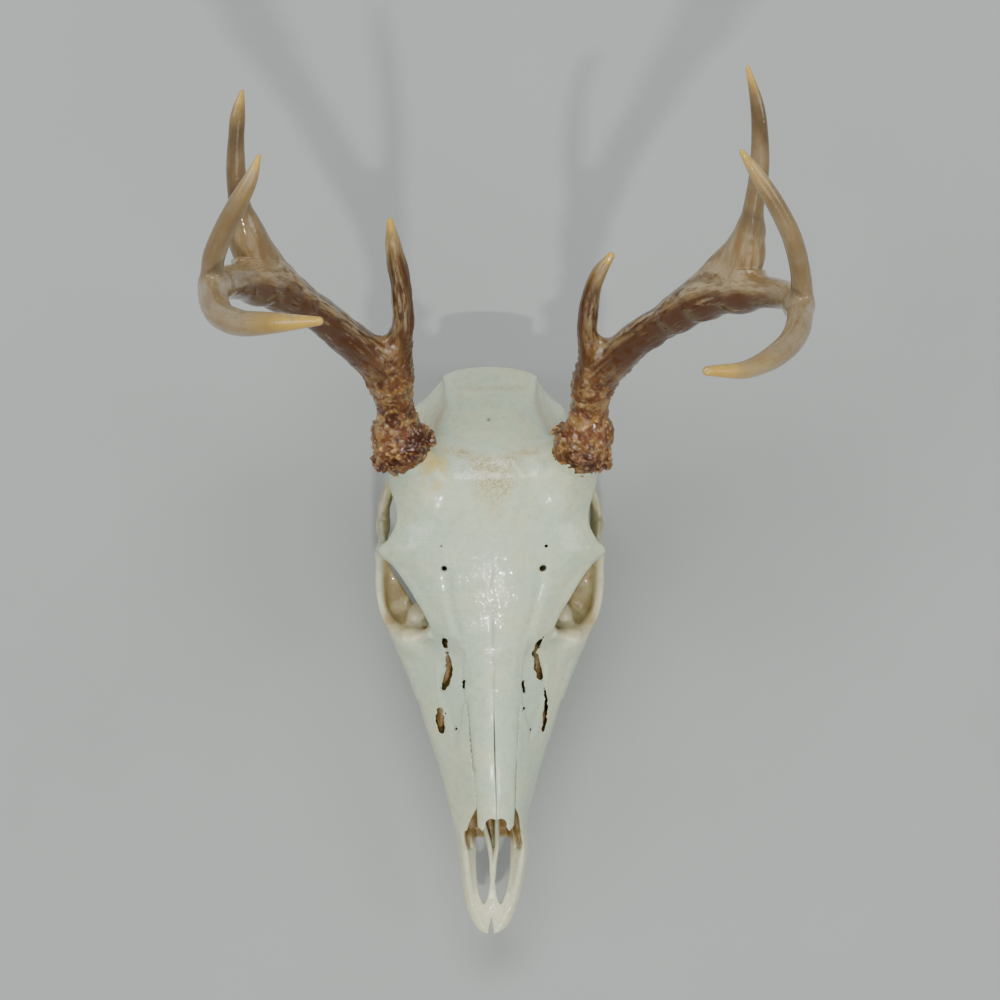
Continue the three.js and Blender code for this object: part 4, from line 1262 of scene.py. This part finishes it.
class Graph:
    """The nodes of one material, made and joined in one call each. An input given as a node or socket
    is joined to it, and any other value is set on it."""

    def __init__(self, name):
        self.material = bpy.data.materials.new(name)
        self.material.use_nodes = True
        self.nodes = self.material.node_tree.nodes
        self.shader = self.nodes["Principled BSDF"]
        self.place = self.node("ShaderNodeTexCoord").outputs["Object"]

    def join(self, socket, value):
        if isinstance(value, bpy.types.Node):
            value = value.outputs[0]
        if isinstance(value, bpy.types.NodeSocket):
            self.material.node_tree.links.new(value, socket)
        elif value is not None:
            socket.default_value = value

    def node(self, kind, *values, inputs=None, **settings):
        node = self.nodes.new(kind)
        for key, value in settings.items():
            setattr(node, key, value)
        for key, value in [*enumerate(values), *(inputs or {}).items()]:
            self.join(node.inputs[key], value)
        return node

    def mask(self, name):
        return self.node("ShaderNodeAttribute", attribute_name=name).outputs["Fac"]

    def math(self, operation, *values):
        return self.node("ShaderNodeMath", *values, operation=operation)

    def times(self, *values):
        return self.math("MULTIPLY", *values)

    def noise(self, scale, detail=3.0, rough=0.55, warp=0.0, at=None):
        inputs = {"Vector": at or self.place, "Scale": scale, "Detail": detail, "Roughness": rough}
        node = self.node("ShaderNodeTexNoise", inputs={**inputs, "Distortion": warp})
        return node.outputs["Fac"]

    def span(self, value, low, high, to_low=0.0, to_high=1.0):
        values = (value, low, high, to_low, to_high)
        return self.node("ShaderNodeMapRange", *values, interpolation_type="SMOOTHSTEP")

    def patches(self, scale, detail, low, high, to_low=0.0, to_high=1.0, rough=0.55, warp=0.0, at=None):
        inputs = {"Vector": at or self.place, "Scale": scale, "Detail": detail, "Roughness": rough}
        inputs.update({"Distortion": warp, "Low": low, "High": high, "To Low": to_low, "To High": to_high})
        return self.node("ShaderNodeGroup", node_tree=SOFT_PATCHES, inputs=inputs)

    def mix(self, share, under, over):
        inputs = {0: share, 6: under, 7: over}
        return self.node("ShaderNodeMix", data_type="RGBA", inputs=inputs).outputs[2]

    def paint(self, share, over):
        """Lays a colour over the piece's tone so far, where the share says so."""
        self.tone = self.mix(share, self.tone, over)

    def stretched(self, scale):
        return self.node("ShaderNodeMapping", inputs={"Vector": self.place, "Scale": scale}).outputs[0]

    def bump(self, height, strength, distance, under=None):
        inputs = {"Height": height, "Strength": strength, "Distance": distance, "Normal": under}
        return self.node("ShaderNodeBump", inputs=inputs)

    def varnish(self, wave, grain):
        """A varnish that follows the piece only loosely: low waves a few millimetres across, and fine
        dust nibs, so that its highlights break up."""
        flow = self.noise(1.0, 3.0, 0.6, 0.5, at=self.stretched((300, 170, 300)))
        waves = self.bump(flow, wave, 0.00046)
        self.join(self.shader.inputs["Coat Normal"], self.bump(self.noise(700), grain, 0.00005, waves))

    def finish(self, rough, normal, **constants):
        settings = {"Base Color": self.tone, "Roughness": rough, "Normal": normal, **constants}
        for name, value in settings.items():
            self.join(self.shader.inputs[name.replace("_", " ")], value)
        return self.material


BONE_WHITE = (0.515, 0.58, 0.39, 1)
BONE_COOL = (0.465, 0.565, 0.425, 1)
BONE_FLECK = (0.34, 0.37, 0.23, 1)
BONE_CREAM = (0.66, 0.62, 0.40, 1)
BONE_SHADE = (0.29, 0.19, 0.06, 1)
BONE_OLIVE_SHADE = (0.45, 0.38, 0.18, 1)
NOSE_BROWN = (0.24, 0.12, 0.012, 1)
PIT_SHADE_AND_SEAM = (0.035, 0.022, 0.01, 1)
SUTURE_CREAM = (0.31, 0.275, 0.12, 1)
SEAT_YELLOW = (0.60, 0.46, 0.14, 1)
PORE_BROWN = (0.17, 0.12, 0.06, 1)


def bone_material():
    """Bleached bone in two cool whites under cream clouds, stained by its masks, with painted shade in its
    grooves, holes, eye sockets and airway, and with pores.
    """
    g = Graph("varnished_bone")
    g.tone = g.mix(g.patches(22, 4.0, 0.42, 0.60, rough=0.65), BONE_WHITE, BONE_COOL)
    g.paint(g.times(g.mask("cream"), g.patches(70, 3.0, 0.25, 0.6, 0.6, 1.0)), BONE_CREAM)
    g.paint(g.patches(60, 5.0, 0.48, 0.74, 0.0, 0.45, rough=0.65), BONE_CREAM)
    g.paint(g.patches(260, 5.0, 0.42, 0.75, 0.0, 0.5, rough=0.75), BONE_FLECK)
    g.paint(g.times(g.mask("panel"), 0.45), BONE_COOL)
    shove = g.node("ShaderNodeTexNoise", inputs={"Vector": g.place, "Scale": 260.0, "Detail": 2.0})
    reach = (0.006, 0.006, 0.006)
    wound = g.node("ShaderNodeVectorMath", shove.outputs["Color"], reach, operation="MULTIPLY")
    wound = g.node("ShaderNodeVectorMath", wound, g.place, operation="ADD").outputs[0]
    worms = g.math("ABSOLUTE", g.math("SUBTRACT", g.noise(420, 2.0, 0.5, 0.5, at=wound), 0.5))
    thread = g.times(g.span(worms, 0.06, 0.015), g.mask("suture"))
    g.paint(g.times(g.mask("suture"), 0.85), g.mix(0.4, BONE_CREAM, SUTURE_CREAM))
    g.paint(thread, SUTURE_CREAM)
    g.paint(g.times(g.mask("yellow"), g.patches(150, 3.0, 0.34, 0.6)), SEAT_YELLOW)
    # Painted shade in the eye sockets, under the cheek arches, deep behind the sockets and on the temples.
    shade = g.times(g.mask("shade"), g.patches(55, 3.0, 0.2, 0.75, 0.75, 1.0))
    g.paint(shade, g.mix(g.patches(90, 3.0, 0.35, 0.65), BONE_SHADE, BONE_OLIVE_SHADE))
    # The airway's brown staining, mixed with painted shade.
    nose_stain_and_shade = g.mix(g.patches(230, 3.0, 0.4, 0.65), NOSE_BROWN, BONE_SHADE)
    g.paint(g.times(g.mask("nose"), g.patches(140, 3.0, 0.3, 0.6, 0.85, 1.0)), nose_stain_and_shade)
    # Painted shade in the holes, and the dark middle seam.
    g.paint(g.mask("pit_shade_and_seam"), PIT_SHADE_AND_SEAM)
    # Painted shade in grooves and pits.
    g.paint(g.times(g.mask("hollow"), g.patches(120, 3.0, 0.3, 0.65, 0.15, 0.5)), BONE_OLIVE_SHADE)
    cells = g.node("ShaderNodeTexVoronoi", inputs={"Vector": g.place, "Scale": 620}).outputs["Distance"]
    specks = g.times(g.span(cells, 0.20, 0.06), g.patches(45, 3.0, 0.50, 0.66))
    g.paint(g.times(specks, 0.28), PORE_BROWN)
    normal = g.bump(g.noise(330, 4.0, 0.6), 0.6, 0.0006)
    normal = g.bump(g.math("ADD", specks, thread), -0.45, 0.00022, normal)
    g.varnish(1.0, 1.0)
    gloss = {"Coat_Weight": 0.75, "Coat_Roughness": 0.03, "Subsurface_Weight": 0.1, "Subsurface_Scale": 0.002}
    return g.finish(g.patches(80, 3.0, 0.3, 0.7, 0.4, 0.55), normal, **gloss)


ENAMEL = (0.66, 0.62, 0.50, 1)
ENAMEL_WARM = (0.60, 0.50, 0.32, 1)
TOOTH_STREAK = (0.30, 0.19, 0.08, 1)
TOOTH_HOLLOW_SHADE = (0.09, 0.05, 0.02, 1)


def tooth_material():
    """Ivory enamel with brown streaks that run up the tooth, and painted shade in its grooves."""
    g = Graph("cheek_tooth_enamel")
    g.tone = g.mix(g.patches(180, 3.0, 0.35, 0.65), ENAMEL, ENAMEL_WARM)
    streak = g.noise(1.0, at=g.stretched((420, 420, 60)))
    g.paint(g.span(streak, 0.52, 0.72, 0.0, 0.7), TOOTH_STREAK)
    # Painted shade in the tooth's grooves.
    g.paint(g.times(g.mask("hollow"), 0.8), TOOTH_HOLLOW_SHADE)
    normal = g.bump(streak, 0.3, 0.0003)
    return g.finish(g.span(streak, 0.3, 0.7, 0.22, 0.4), normal, Coat_Weight=0.3, Coat_Roughness=0.12)


PEARL_TAN = (0.24, 0.105, 0.016, 1)
PEARL_CREAM = (0.60, 0.36, 0.13, 1)
PEARL_RED = (0.11, 0.030, 0.006, 1)
CREVICE_STAIN_AND_SHADE = (0.05, 0.012, 0.002, 1)
BEAM_BROWN = (0.19, 0.112, 0.038, 1)
BEAM_GREY = (0.33, 0.26, 0.15, 1)
BEAM_RED = (0.068, 0.021, 0.003, 1)
TINE_TAN = (0.29, 0.20, 0.088, 1)
TINE_DUSK = (0.145, 0.092, 0.04, 1)
TIP_CREAM = (0.51, 0.32, 0.06, 1)


def antler_material():
    """Three tones side by side: the furrowed beam, the pearls near the burr and the smooth tines.
    Patches placed at the grain run along the branch. The beam's grooves get a dark brown that stands for
    their staining and painted shade together, and the hollows between the pearls get painted shade."""
    g = Graph("stained_antler")
    grain = [g.mask(key) for key in ("grain_a", "grain_b", "grain_along")]
    grain = g.node("ShaderNodeCombineXYZ", *grain).outputs[0]
    g.tone = g.mix(g.patches(0.22, 4.0, 0.38, 0.62, rough=0.62, at=grain), BEAM_GREY, BEAM_BROWN)
    red = g.patches(0.30, 4.0, 0.50, 0.64, rough=0.62, warp=0.5, at=grain)
    g.paint(g.times(g.times(red, g.mask("rough")), 0.85), BEAM_RED)
    dark = g.times(g.mask("under"), g.patches(0.35, 4.0, 0.31, 0.47, rough=0.7, at=grain))
    g.paint(dark, BEAM_RED)
    threads = g.patches(1.1, 3.0, 0.52, 0.66, rough=0.6, at=grain)
    g.paint(g.times(threads, g.times(g.mask("rough"), 0.75)), BEAM_RED)
    # The beam's grooves darkened: their staining and painted shade together.
    g.paint(g.times(g.mask("furrow"), 0.85), CREVICE_STAIN_AND_SHADE)
    pearl = g.mix(g.patches(520, 3.0, 0.35, 0.65), PEARL_TAN, BEAM_BROWN)
    pearl = g.mix(g.times(g.patches(90, 3.0, 0.45, 0.6), 0.55), pearl, TINE_TAN)
    pearl = g.mix(g.times(g.patches(170, 3.0, 0.42, 0.56, rough=0.6, warp=0.8), 0.9), pearl, PEARL_RED)
    pearl = g.mix(g.times(g.mask("crest"), g.patches(330, 2.0, 0.35, 0.6)), pearl, PEARL_CREAM)
    # Painted shade in the hollows between the pearls.
    g.paint(g.mask("pearled"), g.mix(g.mask("hollow"), pearl, CREVICE_STAIN_AND_SHADE))
    tine = g.mix(g.patches(0.2, 4.0, 0.38, 0.58, rough=0.6, at=grain), TINE_TAN, BEAM_GREY)
    tine = g.mix(g.patches(48, 4.0, 0.46, 0.66, 0.0, 0.75, rough=0.65), tine, BEAM_BROWN)
    g.paint(g.mask("smooth"), g.mix(g.times(threads, 0.4), tine, BEAM_BROWN))
    g.paint(g.times(g.mask("dusky"), g.patches(50, 3.0, 0.3, 0.6, 0.55, 0.95)), TINE_DUSK)
    g.paint(g.times(dark, 0.85), BEAM_RED)
    g.paint(g.times(g.mask("pale"), g.patches(60, 3.0, 0.36, 0.6, 0.2, 1.0)), TIP_CREAM)
    g.paint(g.mask("tip"), g.mix(g.patches(260, 3.0, 0.5, 0.7, 0.0, 0.7), TIP_CREAM, TINE_TAN))
    normal = g.bump(g.noise(700, 4.0, 0.6), 0.35, 0.00035)
    normal = g.bump(g.noise(260), 0.3, 0.0004, normal)
    g.varnish(0.45, 0.4)
    gloss = {"Coat_Weight": 0.8, "Coat_Roughness": 0.03, "Specular_IOR_Level": 0.12}
    return g.finish(g.patches(160, 3.0, 0.3, 0.7, 0.42, 0.6), normal, **gloss)


FLOOR_GREY = (0.32, 0.335, 0.325, 1)
FLOOR_PALE = (0.35, 0.365, 0.355, 1)


def floor_material():
    g = Graph("pale_floor")
    g.tone = g.mix(g.patches(3, 4.0, 0.3, 0.7), FLOOR_GREY, FLOOR_PALE)
    return g.finish(0.85, g.bump(g.noise(900), 0.05, 0.0002))


MATERIALS = {"bone": bone_material(), "tooth": tooth_material(), "antler": antler_material()}

# ---- The skull and antlers ----

bone_piece("muzzle", -223, MUZZLE_SEAM_Y, 0.5, both("premaxilla"))
bone_piece("snout", MUZZLE_SEAM_Y, CHEEK_SEAM_Y, 0.62, both("maxilla"))
bone_piece("orbits_and_forehead", CHEEK_SEAM_Y, FOREHEAD_SEAM_Y, 0.84, [*both("zygomatic"), "frontal"])
bone_piece("braincase_and_nape", FOREHEAD_SEAM_Y, 70, 0.78, ["braincase", "occipital"])


def nasal(side):
    """One nasal, shaped as the left one and turned over for the right, with its end cut to a fork."""
    clay = Clay((-1, -170, 60), (20, NASAL_FADE_Y + 6, 90), 0.45)
    clay.add(fading(nasal_shape(0.16, roof_x), NASAL_FADE_Y - 6, NASAL_FADE_Y + 2, 1.2), 0)
    for x, y, radius in ((2.3, -161.4, 3.1), (2.3, -166, 4.4), (10.5, -166.5, 4)):
        clay.carve(post(x, y, 60, 80, radius), 0.6)
    points, quads = tidy(*clay.surface())
    outward = clay.outward(points)
    if side < 0:
        flip = np.array([-1, 1, 1])
        points, outward, quads = points * flip, outward * flip, quads[:, ::-1]
    masks = skull_masks(clay, points * [side, 1, 1], outward)
    # The nasals' undersides, facing down into the airway, take its brown staining and painted shade.
    masks["nose"] = ease(outward[:, 2], -0.1, -0.5)
    masks["shade"] = 0 * masks["nose"]
    points = bent(points + outward * skull_relief(points, outward)[:, None])
    make("nasal_bone_" + side_name(side), points, quads, masks, "bone", ["nasal_" + side_name(side)])


for one in (-1, 1):
    nasal(one)

teeth = Clay((8, -124, -1.5), (44, -46, 44), 0.6)
shape_teeth(teeth)
points, quads = tidy(*teeth.surface(1), least=40)
masks = {"hollow": hollow_mask(teeth, points)}
make("cheek_teeth_right", points * [-1, 1, 1], quads[:, ::-1], masks, "tooth", [])
make("cheek_teeth_left", points, quads, masks, "tooth", [])

scrolls = Clay((0, -162, 36), (30, -64, 82), 0.8)
shape_nose_inside(scrolls)
scrolls.mirrored()
points, quads = tidy(*scrolls.surface())
points = points + scrolls.slope(points) * 0.7 * noise(points, 4, 33)[:, None]
hollow = hollow_mask(scrolls, points)
masks = {key: 0 * hollow for key in ("shade", "suture", "yellow", "cream", "panel", "pit_shade_and_seam")}
# The scrolls are painted all over with the airway's brown staining and painted shade, and with painted shade
# in their hollows.
masks.update(hollow=hollow, nose=1 + 0 * hollow)
make("scrolls_inside_the_nose", bent(points), quads, masks, "bone", [])


def antler(side):
    """One antler and its masks, which read how far a point is up the antler and left to its tip."""
    clay, routes = shape_antler(side)
    points, quads = tidy(*clay.surface())
    outward = clay.outward(points)
    bulge = clay.bulge(points, 1.3)
    local, clear = follow(points, routes)
    relief, furrow, grain, rough, pearled = antler_relief(points, local, clear)
    points = points + outward * relief[:, None]
    up, left, branch = local[:, 0], local[:, 4], local[:, 5].astype(int)
    crest = np.maximum(ease(bulge, 0.35, 0.9) * ease(up, 22, 8), ease(relief, 0.35, 1.0) * ease(up, 40, 12))
    under_beam = ease(-outward[:, 1], 0.1, 0.3) * ease(up, 45, 80) * ease(up, 215, 185) * (branch == BEAM)
    brow_side = 0.8 * ease(side * outward[:, 0], -0.3, -0.6) * (branch == BROW_TINE) * ease(left, 10, 34)
    even = {
        "dusky": DUSK_SHARE[branch] * ease(left, 4, 20) * ease(left, 96, 50),
        "rough": np.clip(rough * 1.3, 0, 1),
        "smooth": ease(up, 130, 260) * 0.6 + 0.4 * ease(left, 80, 20) * (branch != BROW_TINE),
        "pale": PALE_SHARE[branch] * ease(left, PALE_LENGTH[branch], 0.35 * PALE_LENGTH[branch]),
        "tip": ease(left, TIP_LENGTH[branch], 0.2 * TIP_LENGTH[branch]),
        "under": np.maximum(under_beam, brow_side),
    }
    masks = {
        # Painted shade in the hollows between the pearls.
        "hollow": np.maximum(ease(-bulge, 0.2, 1.0), ease(relief, -0.2, -0.7)) * pearled,
        "crest": crest,
        "furrow": ease(furrow, 0.5, 1.2) * rough * clear,
        "grain_a": grain[:, 0],
        "grain_b": grain[:, 1],
        "grain_along": grain[:, 2],
        "pearled": pearled,
        **{key: evened(values, quads, 8) for key, values in even.items()},
    }
    nodes = ["antler_base", "beam_middle", "beam_end", "brow_tine", "second_tine", "third_tine"]
    nodes = [f"{node}_{side_name(side)}" for node in nodes]
    make("antler_" + side_name(side), points, quads, masks, "antler", nodes)


for one in (-1, 1):
    antler(one)

# ---- Floor, light and camera ----

FLOOR_HALF = 3.0
FOCAL_LENGTH = 96.2
SENSOR = 36.0
CAMERA_TILT = math.radians(2.5)
CAMERA_AIM = np.array([2.9, 0, 100])
CAMERA_HEIGHT = 1300.0  # above the aim
SKY_COLOUR = (0.84, 0.87, 0.87, 1)
SKY_STRENGTH = 0.30
WARM, COOL = (1.0, 0.985, 0.95), (0.98, 0.99, 1.0)
# Each light's place, what it points at, its width and height, in metres, its watts and its tint.
SOFTBOXES = {
    "nose_softbox": ((0.0, -0.98, 1.75), (0, -0.03, 0.08), (0.11, 0.045), 17, WARM),
    "front_softbox": ((0.3, -1.7, 1.5), (0, -0.05, 0.05), (1.4, 0.6), 6, WARM),
    "back_softbox": ((-0.2, 1.15, 1.9), (0, 0.05, 0.08), (1.4, 0.8), 35, COOL),
    "left_softbox": ((-1.8, 0.1, 1.3), (0, 0, 0.1), (0.9, 1.4), 15, COOL),
    "right_softbox": ((1.8, 0.0, 1.3), (0, 0, 0.1), (0.9, 1.4), 15, COOL),
}

floor_mesh = bpy.data.meshes.new("pale_floor")
corners = [(x * FLOOR_HALF, y * FLOOR_HALF, 0) for x, y in ((-1, -1), (1, -1), (1, 1), (-1, 1))]
floor_mesh.from_pydata(corners, [], [(0, 1, 2, 3)])
floor = bpy.data.objects.new("pale_floor", floor_mesh)
floor_mesh.materials.append(floor_material())
bpy.context.scene.collection.objects.link(floor)

for name, (place, target, size, power, tint) in SOFTBOXES.items():
    light = bpy.data.lights.new(name, "AREA")
    light.shape = "RECTANGLE"
    light.size, light.size_y = size
    light.energy = power
    light.color = tint
    lamp = bpy.data.objects.new(name, light)
    lamp.location = place
    lamp.rotation_euler = (Vector(target) - Vector(place)).to_track_quat("-Z", "Y").to_euler()
    bpy.context.scene.collection.objects.link(lamp)

world = bpy.data.worlds.new("studio")
bpy.context.scene.world = world
world.use_nodes = True
world.node_tree.nodes["Background"].inputs["Color"].default_value = SKY_COLOUR
world.node_tree.nodes["Background"].inputs["Strength"].default_value = SKY_STRENGTH

lens = bpy.data.cameras.new("camera")
lens.sensor_width = SENSOR
lens.lens = FOCAL_LENGTH
lens.clip_start, lens.clip_end = 0.05, 20
camera = bpy.data.objects.new("camera", lens)
lean, rise = math.sin(CAMERA_TILT), math.cos(CAMERA_TILT)
right, over, back = Vector((rise, 0, lean)), Vector((0, 1, 0)), Vector((-lean, 0, rise))
turn = Matrix((right, over, back)).transposed()
place = (CAMERA_AIM + CAMERA_HEIGHT * np.array([-lean, 0, rise]) + SHIFT) * MM
camera.matrix_world = Matrix.Translation(Vector(place)) @ turn.to_4x4()
bpy.context.scene.collection.objects.link(camera)
bpy.context.scene.camera = camera
